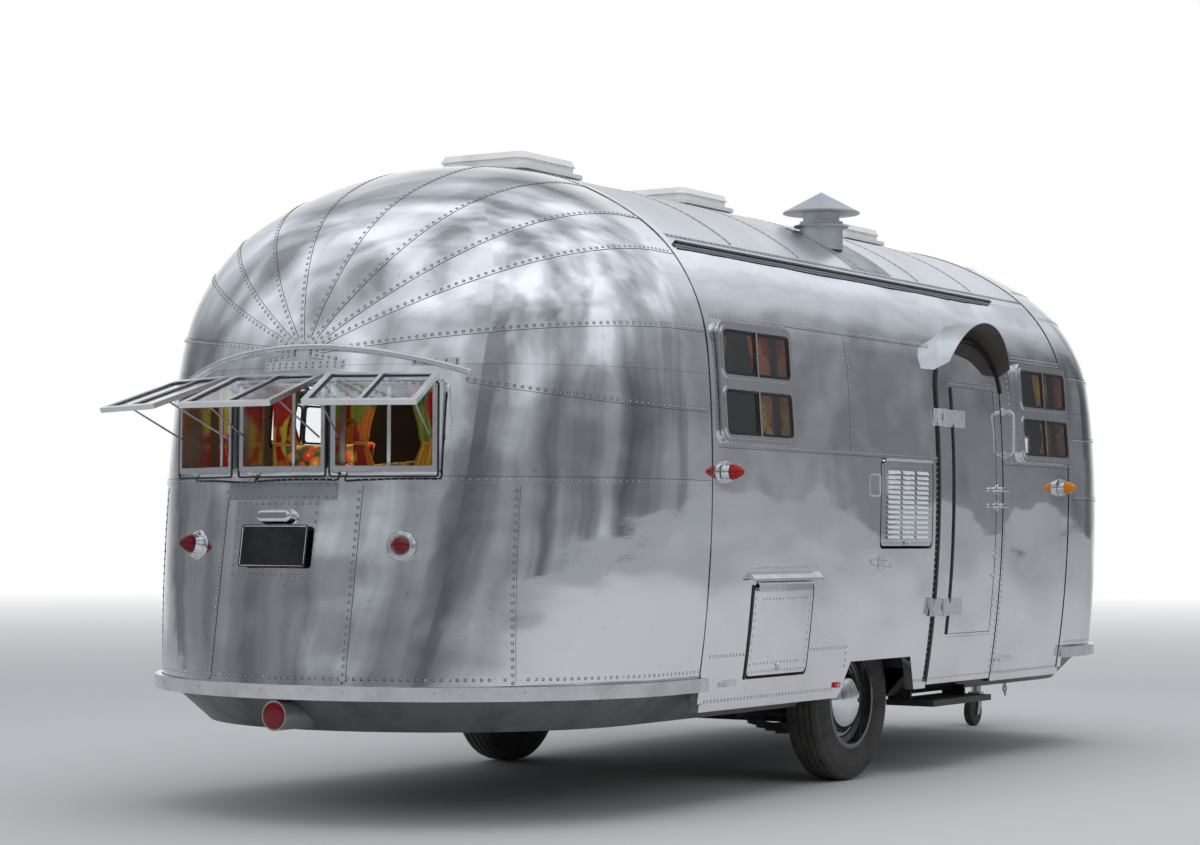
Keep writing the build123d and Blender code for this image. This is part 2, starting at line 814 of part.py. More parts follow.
# Side windows: a boxed frame with a cross rail and two sashes, each with an upright bar.
light_width = side_window_width - 2 * window_frame
light_height = (side_window_height - 2 * window_frame - side_window_bar) / 2
light_round = window_round - window_frame / 2
light_step = (side_window_bar + light_height) / 2
with BuildPart() as side_frames:
    for x, side in side_windows:
        base = skin_plane(x, side_window_z, side, window_proud)
        with BuildSketch(base.offset(-window_depth)):
            RectangleRounded(side_window_width - 1, side_window_height - 1, window_round - 0.5)
            with Locations((0, light_step), (0, -light_step)):
                RectangleRounded(light_width, light_height, light_round, mode=Mode.SUBTRACT)
        extrude(amount=window_depth)
save(side_frames, "side_window_frames")

with BuildPart() as side_sashes:
    for x, side in side_windows:
        base = skin_plane(x, side_window_z, side, window_proud)
        with BuildSketch(base.offset(-14)):
            with Locations((0, light_step), (0, -light_step)):
                RectangleRounded(light_width, light_height, light_round)
                RectangleRounded(light_width - 2 * side_sash_frame, light_height - 2 * side_sash_frame,
                                 light_round - side_sash_frame, mode=Mode.SUBTRACT)
                Rectangle(side_sash_bar, light_height - side_sash_frame)
        extrude(amount=18)
save(side_sashes, "side_window_sashes")

with BuildPart() as side_glass:
    for x, side in side_windows:
        base = skin_plane(x, side_window_z, side, window_proud)
        pane = (light_width - 2 * side_sash_frame - side_sash_bar) / 2
        for k in (1, -1):
            for j in (1, -1):
                with BuildSketch(base.offset(-8)):
                    with Locations((j * (side_sash_bar + pane) / 2, k * light_step)):
                        RectangleRounded(pane - 1, light_height - 2 * side_sash_frame - 1,
                                         light_round - side_sash_frame)
                extrude(amount=glass_thickness)
save(side_glass, "side_window_glass")

# End windows: awning sashes, the rear three propped open and the front three closed.
sash_width = end_window_width + 16
sash_height = end_window_height + 8


def sash_plane(window, tip):
    """Plane of a sash hung from its top edge and swung out by a number of degrees."""
    hinge = window.offset(end_window_proud + sash_hinge_gap)
    top = hinge.from_local_coords((0, end_window_height / 2 + 4, 0))
    normal = hinge.z_dir * cos(radians(tip)) + Vector(0, 0, 1) * sin(radians(tip))
    return Plane(origin=top, x_dir=hinge.x_dir, z_dir=normal)


sash_parts = {}
frame_parts = {}
for end in hoops:
    tip = sash_open if end == "rear" else 0
    with BuildPart() as sashes:
        for plane in cap_planes[end]:
            with BuildSketch(sash_plane(plane, tip)):
                with Locations((0, -sash_height / 2)):
                    RectangleRounded(sash_width, sash_height, 10)
                    RectangleRounded(sash_width - 2 * sash_frame, sash_height - 2 * sash_frame, 5,
                                     mode=Mode.SUBTRACT)
                    Rectangle(sash_bar, sash_height - sash_frame)
            extrude(amount=sash_depth)
    save(sashes, f"{end}_sashes")
    sash_parts[end] = sashes.part
    with BuildPart() as panes:
        for plane in cap_planes[end]:
            half_pane = (sash_width - 2 * sash_frame - sash_bar) / 2 - 1
            for k in (1, -1):
                with BuildSketch(sash_plane(plane, tip).offset(6)):
                    with Locations((k * (sash_bar / 2 + 0.5 + half_pane / 2), -sash_height / 2)):
                        RectangleRounded(half_pane, sash_height - 2 * sash_frame - 2, 5)
                extrude(amount=glass_thickness)
    save(panes, f"{end}_sash_glass")
    # Flat boxed frames in the end cap, with the sash hinges along their heads.
    with BuildPart() as frames:
        for plane in cap_planes[end]:
            with BuildSketch(plane.offset(end_window_proud - end_window_depth)):
                RectangleRounded(end_window_width - 1, end_window_height - 1, end_window_round)
                RectangleRounded(end_window_width - 2 * end_window_frame,
                                 end_window_height - 2 * end_window_frame,
                                 end_window_round / 2, mode=Mode.SUBTRACT)
            extrude(amount=end_window_depth)
            head = plane.offset(end_window_proud + sash_hinge_radius / 2)
            barrel_y = end_window_height / 2 + sash_hinge_radius
            with BuildSketch(Plane(origin=head.from_local_coords((-end_window_width / 2, barrel_y, 0)),
                                   x_dir=head.y_dir, z_dir=head.x_dir)):
                Circle(sash_hinge_radius)
            extrude(amount=end_window_width)
            with BuildSketch(plane.offset(end_window_proud - 20)):
                with Locations((0, end_window_height / 2 + sash_hinge_radius - 2)):
                    Rectangle(end_window_width - 1, 2 * sash_hinge_radius)
            extrude(amount=20)
        add(sashes.part, mode=Mode.SUBTRACT)
    save(frames, f"{end}_window_frames")
    frame_parts[end] = frames.part

# Stays that prop the rear sashes, one at each side of each window.
with BuildPart() as stays:
    for plane in cap_planes["rear"]:
        swung = sash_plane(plane, sash_open)
        for k in (1, -1):
            foot = plane.from_local_coords((k * (end_window_width / 2 - 30), -40, end_window_proud))
            head = swung.from_local_coords((k * (end_window_width / 2 - 30), -sash_height + 90, 0))
            foot = foot - (head - foot).normalized() * 4
            with BuildSketch(Plane(origin=foot, z_dir=head - foot)):
                Circle(stay_radius)
            extrude(amount=(head - foot).length)
    add(sash_parts["rear"], mode=Mode.SUBTRACT)
save(stays, "sash_stays")

# Entrance door cut from the same barrel, with its strap hinges and handle.
with BuildPart() as door_block:
    with BuildSketch(Plane.XZ.offset(widest_half)):
        with BuildLine():
            door_outline(0, 0, 0, 0)
        make_face()
    extrude(amount=200, both=True)
# Seam of the panel let into the door, a groove of even depth in the skin.
with BuildPart() as groove:
    with BuildSketch(Plane.YZ.offset(door_x)):
        with BuildLine():
            hoop_outline(skirt_height)
        make_face()
    extrude(amount=door_width)
    with BuildSketch(Plane.YZ.offset(door_x)):
        with BuildLine():
            hoop_outline(skirt_height - 20, door_panel_groove)
        make_face()
    extrude(amount=door_width, mode=Mode.SUBTRACT)
    with BuildSketch(Plane.XZ.offset(widest_half)):
        with Locations((door_panel_x, (door_panel_bottom + door_panel_top) / 2)):
            Rectangle(door_panel_width, door_panel_top - door_panel_bottom)
            Rectangle(door_panel_width - 2 * door_panel_groove,
                      door_panel_top - door_panel_bottom - 2 * door_panel_groove, mode=Mode.SUBTRACT)
    extrude(amount=200, both=True, mode=Mode.INTERSECT)
with BuildPart() as door:
    add(barrel.part)
    add(door_block.part, mode=Mode.INTERSECT)
    add(groove.part, mode=Mode.SUBTRACT)
save(door, "door")

hinge_y = -(widest_half + door_hinge_out)


def strap(z, reach, way):
    """Plan of one leaf of a strap hinge, from its knuckle to its tip on the skin."""
    face_y = -half_width(z)
    Polyline(
        (door_x, hinge_y - 3),
        (door_x, hinge_y + 3),
        (door_x + way * 34, face_y - 1),
        (door_x + way * reach, face_y - 1),
        (door_x + way * reach, face_y - 6),
        (door_x + way * 32, face_y - 6),
        close=True,
    )


with BuildPart() as door_hinges:
    for z in door_hinge_zs:
        with Locations((door_x, hinge_y, z)):
            Cylinder(door_hinge_radius, door_hinge_height / 3)
        with BuildSketch(Plane.XY.offset(z - door_hinge_height / 2)):
            with BuildLine():
                strap(z, door_hinge_leaf, 1)
            make_face()
        extrude(amount=door_hinge_height)
        with Locations((door_x, hinge_y, z + door_hinge_height / 3),
                       (door_x, hinge_y, z - door_hinge_height / 3)):
            Cylinder(door_hinge_radius + 4, door_hinge_height / 3 + 1, mode=Mode.SUBTRACT)
    add(barrel.part, mode=Mode.SUBTRACT)
save(door_hinges, "door_hinges")

with BuildPart() as hinge_feet:
    for z in door_hinge_zs:
        with Locations((door_x, hinge_y, z + door_hinge_height / 3),
                       (door_x, hinge_y, z - door_hinge_height / 3)):
            Cylinder(door_hinge_radius, door_hinge_height / 3 - 1)
        with BuildSketch(Plane.XY.offset(z - door_hinge_height / 2)):
            with BuildLine():
                strap(z, door_hinge_foot, -1)
            make_face()
        extrude(amount=door_hinge_height)
        with Locations((door_x, hinge_y, z)):
            Cylinder(door_hinge_radius + 4, door_hinge_height / 3 + 1, mode=Mode.SUBTRACT)
    add(barrel.part, mode=Mode.SUBTRACT)

# Door latch and lock, and the grab handle on the wall ahead of the door.
handle_x = door_x + door_width - 48
with BuildPart() as door_handle:
    for z in (latch_z, lock_z):
        face = skin_plane(handle_x, z, -1)
        with BuildSketch(face.offset(-3)):
            Circle(24)
        extrude(amount=9)
        with BuildSketch(face.offset(6)):
            Circle(11)
        extrude(amount=26)
        with BuildSketch(face.offset(26)):
            SlotOverall(96, 20)
        extrude(amount=12)
    fillet(door_handle.faces().filter_by(lambda f: f.area > 1500 and f.normal_at().Y < -0.9)
           .edges(), 3)
    add(barrel.part, mode=Mode.SUBTRACT)
save(door_handle, "door_handles")

grab_x = door_x + door_width + 34
with BuildPart() as grab_handle:
    low, high = 1405, 1605
    face_y = -half_width(low) - 42
    with BuildLine() as bow:
        FilletPolyline((grab_x, -half_width(low) + 4, low), (grab_x, face_y, low),
                       (grab_x, face_y, high), (grab_x, -half_width(high) + 4, high),
                       radius=26)
    with BuildSketch(Plane(origin=bow.line @ 0, z_dir=bow.line % 0)):
        Circle(8)
    sweep()
    for x, z in ((grab_x, low), (grab_x, high)):
        with BuildSketch(skin_plane(x, z, -1, -3)):
            Circle(18)
        extrude(amount=7)
    add(barrel.part, mode=Mode.SUBTRACT)

# Rain hood over the door: a bowed sheet, deeper at its head than at its feet.
hood_reach = door_width / 2 + 12
hood_foot = door_top - 140
mid_x = door_x + door_width / 2
with BuildPart() as hood:
    with BuildSketch(Plane.XZ.offset(half_width(door_top + hood_rise) - 60)):
        for shrink, mode in ((0, Mode.ADD), (hood_thickness, Mode.SUBTRACT)):
            with BuildLine():
                reach, top = hood_reach - shrink, door_top + hood_rise - shrink
                arc = ThreePointArc((mid_x - reach, hood_foot), (mid_x, top), (mid_x + reach, hood_foot))
                Line(arc @ 1, arc @ 0)
            make_face(mode=mode)
    extrude(amount=400)
    with BuildSketch(Plane.YZ.offset(mid_x)):
        with BuildLine():
            Polyline((0, hood_foot), (-half_width(hood_foot), hood_foot),
                     (-hood_foot_out, hood_foot + hood_foot_lift), (-hood_head_out, door_top + hood_rise + 1), (0, door_top + hood_rise + 1), close=True)
        make_face()
    extrude(amount=hood_reach + 50, both=True, mode=Mode.INTERSECT)
    with BuildSketch(Plane.YZ.offset(mid_x)):
        with BuildLine():
            hoop_outline(skirt_height)
        make_face()
    extrude(amount=hood_reach + 60, both=True, mode=Mode.SUBTRACT)
save(hood, "door_hood")

# Lids hinged at the top: the lower hatch and the louvred panel.
lid_cores = {}
for name, (x, width, bottom, top) in lids.items():
    mid = (bottom + top) / 2
    with BuildPart() as block:
        with BuildSketch(lid_plane(x, bottom, top)):
            with Locations((0, (lid_free_gap - lid_gap) / 2)):
                RectangleRounded(width - 2 * lid_gap, top - bottom - lid_gap - lid_free_gap, lid_round)
        extrude(amount=90, both=True)
    with BuildPart() as lid:
        add(barrel.part)
        add(block.part, mode=Mode.INTERSECT)
        y = -(half_width(top) + lid_hinge_out)
        with Locations((x, y, top + 2)):
            Cylinder(lid_hinge_radius, width - 60, rotation=(0, 90, 0))
        with Locations((x, y + 2, top - 12)):
            Box(width - 60, 3, 30)
        with Locations((x, y + 6, top - 22)):
            Box(width - 60, 12, 10)
        if name == "vent_panel":
            face = lid_plane(x, bottom, top)
            with BuildSketch(face.offset(-louvre_skin)):
                Rectangle(louvre_columns * louvre_pitch_x + 20, louvre_rows * louvre_pitch_z + 16)
            extrude(amount=-100, mode=Mode.SUBTRACT)
            # Each louvre is a pressed scoop: proud at its open lower lip, flush at its top.
            slit = [(-1, louvre_slit), (louvre_slit + 1, louvre_slit), (louvre_slit + 1, -9), (-1, -9)]
            sheet = [(0, louvre_proud), (0, louvre_proud - 1.6), (louvre_rise, -3), (louvre_rise, 0)]
            cheek = [(0, louvre_proud), (0, -3), (louvre_rise, -3), (louvre_rise, 0)]
            for column in range(louvre_columns):
                left = (column - (louvre_columns - 1) / 2) * louvre_pitch_x - louvre_length / 2
                for shape, start, length, mode in (
                    (slit, 0, louvre_length, Mode.SUBTRACT),
                    (sheet, 0, louvre_length, Mode.ADD),
                    (cheek, 0, 2, Mode.ADD),
                    (cheek, louvre_length - 2, 2, Mode.ADD),
                ):
                    edge = face.from_local_coords((left + start, 0, 0))
                    with BuildSketch(Plane(origin=edge, x_dir=face.y_dir, z_dir=face.x_dir)):
                        for row in range(louvre_rows):
                            low = (row - (louvre_rows - 1) / 2) * louvre_pitch_z - louvre_rise / 2
                            with BuildLine():
                                Polyline([(low + a, b) for a, b in shape], close=True)
                            make_face()
                    extrude(amount=length, mode=mode)
    save(lid, name)

# Rain gutter over the hatch, with a staple bar above it.
with BuildPart() as hatch_hood:
    z = hatch_top + 14
    y = -half_width(z)
    with BuildSketch(Plane.YZ.offset(hatch_x - hatch_width / 2 - 44)):
        with BuildLine():
            Polyline((y + 4, z + 30), (y - 6, z + 30), (y - 26, z + 6), (y - 26, z - 2), (y - 22, z - 2),
                     (y - 20, z + 3), (y + 4, z + 8), close=True)
        make_face()
    extrude(amount=hatch_width + 68)
    with BuildLine() as staple:
        FilletPolyline((hatch_x - hatch_width / 2 - 20, y + 3, z + 50), (hatch_x - hatch_width / 2 - 20, y - 14, z + 50),
                       (hatch_x + hatch_width / 2, y - 14, z + 50), (hatch_x + hatch_width / 2, y + 3, z + 50),
                       radius=9)
    with BuildSketch(Plane(origin=staple.line @ 0, z_dir=staple.line % 0)):
        Circle(4)
    sweep()
    add(barrel.part, mode=Mode.SUBTRACT)

# Awning rails along both sides.
with BuildPart() as awning_rails:
    for s in (1, -1):
        plane = skin_plane(rear_hoop_x + awning_start + awning_length / 2, awning_height, s, 9)
        with BuildSketch(plane.offset(-8)):
            Rectangle(awning_length, 17)
        extrude(amount=15)
        with Locations((rear_hoop_x + awning_start + awning_length / 2,
                        s * (half_width(awning_height) + 12), awning_height + 4)):
            Cylinder(4, awning_length + 20, rotation=(0, 90, 0), mode=Mode.SUBTRACT)
save(awning_rails, "awning_rails")

# Roof hatches: a flanged base and a domed lid each.
with BuildPart() as roof_hatches:
    for x in roof_hatch_xs:
        with BuildSketch(Plane.XY.offset(roof_height - 6)):
            with Locations((x, 0)):
                RectangleRounded(roof_hatch_size + 50, roof_hatch_size + 50, 30)
        extrude(amount=16)
        with BuildSketch(Plane.XY.offset(roof_height + 10)):
            with Locations((x, 0)):
                RectangleRounded(roof_hatch_size, roof_hatch_size, 40)
        extrude(amount=30)
        with BuildSketch(Plane.XY.offset(roof_height + 40)):
            with Locations((x, 0)):
                RectangleRounded(roof_hatch_size + 16, roof_hatch_size + 16, 44)
        extrude(amount=26, taper=30)
    add(barrel.part, mode=Mode.SUBTRACT)
    with Locations((0, 0, roof_height - 60)):
        Box(12000, 1200, 100, mode=Mode.SUBTRACT)
save(roof_hatches, "roof_hatches")

# Flue: pipe, two drip rings, open neck and cone cap, on a flashing plate.
flue_base = sqrt(crown_radius ** 2 - flue_y ** 2) + crown_z
ring, brim = flue_sunk + flue_ring_up, flue_sunk + flue_cap_up
with BuildPart() as flue:
    with BuildSketch(Plane(origin=(flue_x, flue_y, flue_base - flue_sunk), x_dir=(1, 0, 0), z_dir=(0, -1, 0))):
        with BuildLine():
            Polyline((0, 0), (flue_radius, 0), (flue_radius, ring), (flue_radius + 24, ring - 4),
                     (flue_radius + 27, ring + 2), (flue_radius, ring + 9), (flue_radius, ring + 20),
                     (flue_neck_radius, ring + 20), (flue_neck_radius, brim), (flue_cap_radius, brim),
                     (flue_cap_radius, brim + 6), (0, flue_sunk + flue_rise), close=True)
        make_face()
    revolve(axis=Axis((flue_x, flue_y, 0), (0, 0, 1)))
    add(barrel.part, mode=Mode.SUBTRACT)
save(flue, "flue_stack")

# Rear lamps, plate, marker lamps
rear_shell = outer_shells["rear"]
tail_y, tail_z = 466, 988
plate_y, plate_z = 25, 984
plate_width, plate_height = 305, 152
drip_rail_radius = 11
marker_z = 1268
marker_xs = (rear_hoop_x + 72, front_hoop_x - 134)
marker_radius = 42
marker_base_out = 32
marker_lens_radius = 30


def rear_plane(y, z, out):
    """Plane on the rear cap facing out, its X to the right as seen from behind."""
    ray = Axis((rear_hoop_x - 3000, y, z), (1, 0, 0))
    hits = rear_shell.find_intersection_points(ray)
    point, normal = min(hits, key=lambda hit: hit[0].X)
    if normal.X > 0:
        normal = -normal
    across = Vector(0, -1, 0) - normal * Vector(0, -1, 0).dot(normal)
    return Plane(origin=point + normal * out, x_dir=across, z_dir=normal)


# Tail lamps: three stepped rings each and a cone lens, and the round reflector of the carrier tube.
with BuildPart() as tail_bezels:
    for s in (1, -1):
        plane = rear_plane(s * tail_y, tail_z, 0)
        with BuildSketch(plane.offset(-12)):
            Circle(55)
        extrude(amount=18)
        with BuildSketch(plane.offset(6)):
            Circle(51)
        extrude(amount=9, taper=25)
        with BuildSketch(plane.offset(15)):
            Circle(44)
        extrude(amount=10, taper=20)
    add(rear_shell, mode=Mode.SUBTRACT)
save(tail_bezels, "tail_lamp_bezels")
with BuildPart() as tail_lenses:
    for s in (1, -1):
        with BuildSketch(rear_plane(s * tail_y, tail_z, 25.3)):
            Circle(34)
        extrude(amount=12, taper=8)
        with BuildSketch(rear_plane(s * tail_y, tail_z, 37.3)):
            Circle(32.3)
        extrude(amount=34, taper=32)
    with Locations((tube_x + 2, tube_y, tube_z)):
        Cylinder(tube_radius - 4.2, 2, rotation=(0, 90, 0))
save(tail_lenses, "tail_lamp_lenses")

# Number plate in its thin tray, and the shell-shaped lamp above it.
with BuildPart() as number_plate:
    with BuildSketch(rear_plane(plate_y, plate_z, 10)):
        RectangleRounded(plate_width, plate_height, 12)
    extrude(amount=3)
    with BuildSketch(rear_plane(plate_y, plate_z, 13)):
        RectangleRounded(plate_width, plate_height, 12)
        RectangleRounded(plate_width - 8, plate_height - 8, 9, mode=Mode.SUBTRACT)
    extrude(amount=2)
    with BuildSketch(rear_plane(plate_y, plate_z, -6)):
        Rectangle(80, 60)
    extrude(amount=16)
    add(rear_shell, mode=Mode.SUBTRACT)
save(number_plate, "number_plate")
with BuildPart() as plate_lamp:
    with BuildSketch(rear_plane(plate_y, plate_z + plate_height / 2 + 30, -8)):
        SlotOverall(168, 58)
    extrude(amount=42, taper=11)
    fillet(plate_lamp.faces().sort_by(Axis.X)[0].edges(), 14)
    add(rear_shell, mode=Mode.SUBTRACT)
save(plate_lamp, "plate_lamp")

# Curved drip rail over the rear windows, with the gutter and staple over the hatch.
with BuildPart() as drip_rails:
    places = [rear_plane(y, z, 9).origin for y, z in ((632, 1606), (10, 1700), (-640, 1600))]
    with BuildLine() as bow:
        ThreePointArc(places[0], places[1], places[2])
    with BuildSketch(Plane(origin=bow.line @ 0, z_dir=bow.line % 0)):
        Circle(drip_rail_radius)
    sweep()
    add(rear_shell, mode=Mode.SUBTRACT)
    add(hatch_hood.part)
save(drip_rails, "drip_rails")

with BuildPart() as markers:
    for x in marker_xs:
        for s in (1, -1):
            with BuildSketch(skin_plane(x, marker_z, s, 1)):
                Circle(marker_radius)
            extrude(amount=12, taper=10)
            with BuildSketch(skin_plane(x, marker_z, s, 13)):
                Circle(marker_radius - 5)
            extrude(amount=marker_base_out - 13, taper=13)
save(markers, "marker_bases")
with BuildPart() as marker_lenses:
    for x in marker_xs:
        for s in (1, -1):
            with BuildSketch(skin_plane(x, marker_z, s, marker_base_out + 0.3)):
                Circle(marker_lens_radius)
            extrude(amount=18, taper=12)
            with BuildSketch(skin_plane(x, marker_z, s, marker_base_out + 18.3)):
                Circle(marker_lens_radius - 3.9)
            extrude(amount=33, taper=30)
save(marker_lenses, "marker_lenses")

# Carrier tube through the rear belly wrap, closed by a round reflector.
with BuildPart() as carrier:
    with Locations((tube_x + tube_length / 2, tube_y, tube_z)):
        Cylinder(tube_radius, tube_length, rotation=(0, 90, 0))
    with Locations((tube_x, tube_y, tube_z)):
        Cylinder(tube_radius - 4, 6, rotation=(0, 90, 0), mode=Mode.SUBTRACT)
save(carrier, "carrier_tube")

# Folding entry step below the door, hung from the edge of the floor frame.
step_y = half_width(skirt_height) - 88
with BuildPart() as step:
    with Locations((mid_x, -step_y, 300)):
        Box(620, 230, 26)
    with Locations((mid_x, -step_y, 312)):
        Box(580, 190, 6, mode=Mode.SUBTRACT)
    for k in (1, -1):
        with Locations((mid_x + k * 285, -step_y + 60, 321)):
            Box(14, 110, belly_bottom + 16 - 287 + 8)
    add(tray.part, mode=Mode.SUBTRACT)
save(step, "entry_step")

# Small fittings on the door side: latches, door holdback, staple, hinge leaves and grab handle.
with BuildPart() as wall_fittings:
    for x, z, length in ((rear_hoop_x + 195, 471, 132), (front_hoop_x - 690, 469, 200)):
        face = skin_plane(x, z, -1, -2)
        with BuildSketch(face):
            SlotOverall(length, 26)
        extrude(amount=7)
        with BuildSketch(face.offset(7)):
            SlotOverall(length * 0.6, 18)
        extrude(amount=9)
    with BuildSketch(skin_plane(rear_hoop_x + 1424, 920, -1, -2)):
        RectangleRounded(56, 62, 8)
    extrude(amount=6)
    with BuildLine() as loop:
        face = skin_plane(rear_hoop_x + 1424, 920, -1, 2)
        FilletPolyline(face.from_local_coords((-13, 12, 0)), face.from_local_coords((-13, 12, 44)),
                       face.from_local_coords((13, -14, 44)), face.from_local_coords((13, -14, 0)), radius=11)
    with BuildSketch(Plane(origin=loop.line @ 0, z_dir=loop.line % 0)):
        Circle(4.5)
    sweep()
    with BuildLine() as staple:
        face = skin_plane(panel_x - panel_width / 2 - 50, 1242, -1, -3)
        FilletPolyline(face.from_local_coords((0, 44, 0)), face.from_local_coords((0, 44, 24)),
                       face.from_local_coords((0, -44, 24)), face.from_local_coords((0, -44, 0)), radius=9)
    with BuildSketch(Plane(origin=staple.line @ 0, z_dir=staple.line % 0)):
        Circle(4)
    sweep()
    add(barrel.part, mode=Mode.SUBTRACT)
    add(hinge_feet.part)
    add(grab_handle.part)
save(wall_fittings, "wall_fittings")

# Safety chains hanging from the drawbar beside the jockey wheel.
link_half = chain_link_length / 2 - chain_wire_radius
link_side = chain_link_width / 2 - chain_wire_radius
with BuildPart() as link:
    with BuildLine() as half_loop:
        Line((link_side, 0, 0), (link_side, 0, link_half - link_side))
        ThreePointArc((link_side, 0, link_half - link_side), (0, 0, link_half),
                      (-link_side, 0, link_half - link_side))
        Line((-link_side, 0, link_half - link_side), (-link_side, 0, 0))
    with BuildSketch(Plane.XY.offset(0)):
        with Locations((link_side, 0)):
            Circle(chain_wire_radius)
    sweep(path=half_loop.line)
    mirror(about=Plane.XY)
with BuildPart() as chains:
    for x, y, count in ((jockey_x + 160, -96, 8), (jockey_x + 200, -84, 9)):
        for i in range(count):
            z = chassis_bottom - chain_link_length / 2 - i * chain_pitch
            with Locations(Location((x, y, z), (0, 0, 90 * (i % 2)))):
                add(link.part)
save(chains, "safety_chains")

# Bunk base and cushion seen through the rear windows, with one loose cushion on it.
with BuildPart() as seat:
    with Locations((rear_hoop_x - 520, 0, floor_top + 200)):
        Box(560, 1500, 400)
    offset(amount=-18, openings=seat.faces().sort_by(Axis.Z)[0])
save(seat, "lounge_base")
with BuildPart() as cushion:
    with Locations((rear_hoop_x - 520, 0, floor_top + 400.5 + 70)):
        Box(540, 1480, 140)
    fillet(cushion.edges(), 30)
save(cushion, "lounge_cushion")
with BuildPart() as loose_cushion:
    with Locations((rear_hoop_x - 690, loose_cushion_y, floor_top + 541 + loose_cushion_tall / 2)):
        Box(150, loose_cushion_wide, loose_cushion_tall)
    fillet(loose_cushion.edges(), 40)
save(loose_cushion, "loose_cushion")


# Curtains inside the windows, a pair to each, and the rods they hang from.
curtain_places = []
for end in hoops:
    for plane in cap_planes[end]:
        curtain_places.append(
            (plane.offset(-end_curtain_in), end_window_width - 92, end_window_height - 28,
             end_curtain_in - end_window_depth + end_window_proud))
for x, side in side_windows:
    plane = skin_plane(x, side_window_z, side, -side_curtain_in)
    plane = Plane(origin=plane.origin, x_dir=(-side, 0, 0), z_dir=plane.z_dir)
    curtain_places.append(
        (plane, side_window_width - 92, side_window_height - 40, side_curtain_in - window_depth + window_proud))
with BuildPart() as curtains:
    for plane, wide, tall, reach in curtain_places:
        with BuildSketch(plane):
            for way in (1, -1):
                with BuildLine():
                    edge = -way * wide / 2
                    Polyline(
                        (edge, tall / 2),
                        (edge + way * wide * 0.33, tall / 2),
                        (edge + way * wide * 0.2, -tall * 0.12),
                        (edge + way * wide * 0.17, -tall * 0.2),
                        (edge + way * wide * 0.27, -tall / 2),
                        (edge, -tall / 2),
                        close=True,
                    )
                make_face()
        extrude(amount=-curtain_thickness)
save(curtains, "curtains")
with BuildPart() as rods:
    for plane, wide, tall, reach in curtain_places:
        middle = plane.offset(-curtain_thickness / 2)
        start = middle.from_local_coords((-wide / 2 - 8, tall / 2 + curtain_rod_up, 0))
        with BuildSketch(Plane(origin=start, x_dir=plane.z_dir, z_dir=plane.x_dir)):
            Circle(curtain_rod_radius)
        extrude(amount=wide + 16)
        with BuildSketch(middle):
            for k in (1, -1):
                with Locations((k * (wide / 2 + 3), tall / 2 + curtain_rod_up)):
                    Rectangle(10, 8)
        extrude(amount=reach + curtain_thickness / 2)
save(rods, "curtain_rods")
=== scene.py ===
import bpy
import bmesh
import math
from mathutils import Matrix, Vector
from mathutils.bvhtree import BVHTree


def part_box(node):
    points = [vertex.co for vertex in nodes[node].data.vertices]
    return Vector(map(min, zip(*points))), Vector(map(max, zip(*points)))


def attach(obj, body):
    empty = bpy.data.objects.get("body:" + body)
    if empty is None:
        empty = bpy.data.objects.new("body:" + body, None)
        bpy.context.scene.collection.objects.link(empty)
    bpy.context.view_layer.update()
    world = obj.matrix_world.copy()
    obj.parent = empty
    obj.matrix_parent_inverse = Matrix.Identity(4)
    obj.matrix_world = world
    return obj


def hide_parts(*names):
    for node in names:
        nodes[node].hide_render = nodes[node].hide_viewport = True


# Dressing of a riveted aluminium travel trailer. Metres; X to the hitch, Y to the left, Z up.
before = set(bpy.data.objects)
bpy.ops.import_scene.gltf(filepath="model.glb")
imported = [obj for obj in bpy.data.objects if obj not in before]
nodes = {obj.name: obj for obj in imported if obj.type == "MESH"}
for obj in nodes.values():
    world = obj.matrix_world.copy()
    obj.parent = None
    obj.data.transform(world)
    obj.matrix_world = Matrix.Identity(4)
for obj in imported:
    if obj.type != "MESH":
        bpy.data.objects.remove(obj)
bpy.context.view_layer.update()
print("frame loaded", len(nodes), "nodes")

# Body form, as in the solids
hull = {
    "rearHoop": -1.969, "frontHoop": 1.521, "widest": 1.100, "widestZ": 1.240, "sideRadius": 5.200,
    "shoulderStart": 1.720, "shoulderRadius": 0.700, "roof": 2.477, "skirt": 0.370, "frontShare": 0.88,
}
lean = math.asin((hull["shoulderStart"] - hull["widestZ"]) / hull["sideRadius"])
shoulderY = hull["widest"] - hull["sideRadius"] + (hull["sideRadius"] - hull["shoulderRadius"]) * math.cos(lean)
shoulderZ = hull["widestZ"] + (hull["sideRadius"] - hull["shoulderRadius"]) * math.sin(lean)
shoulderDrop = hull["roof"] - shoulderZ
crownRadius = (shoulderY ** 2 + shoulderDrop ** 2 - hull["shoulderRadius"] ** 2) / (
    2 * (shoulderDrop - hull["shoulderRadius"]))
crownZ = hull["roof"] - crownRadius
crownTurn = math.atan2(shoulderY, shoulderZ - crownZ)
crownStart = crownZ + crownRadius * math.cos(crownTurn)


def sidePoint(x, z, side, out=0.0):
    # A point on the barrel skin at a height, and the way the skin faces there.
    if z <= hull["shoulderStart"]:
        middle = Vector((x, side * (hull["widest"] - hull["sideRadius"]), hull["widestZ"]))
        reach = hull["sideRadius"]
    elif z <= crownStart:
        middle, reach = Vector((x, side * shoulderY, shoulderZ)), hull["shoulderRadius"]
    else:
        middle, reach = Vector((x, 0, crownZ)), crownRadius
    rise = (z - middle.z) / reach
    normal = Vector((0, side * math.sqrt(max(1 - rise ** 2, 0)), rise))
    return middle + normal * (reach + out), normal


# Camera at the photograph's viewing angle
shot = {"place": (-10.573, -5.955, 1.032), "yaw": 31.94, "pitch": 2.42, "roll": 0.29, "lens": 79.5}


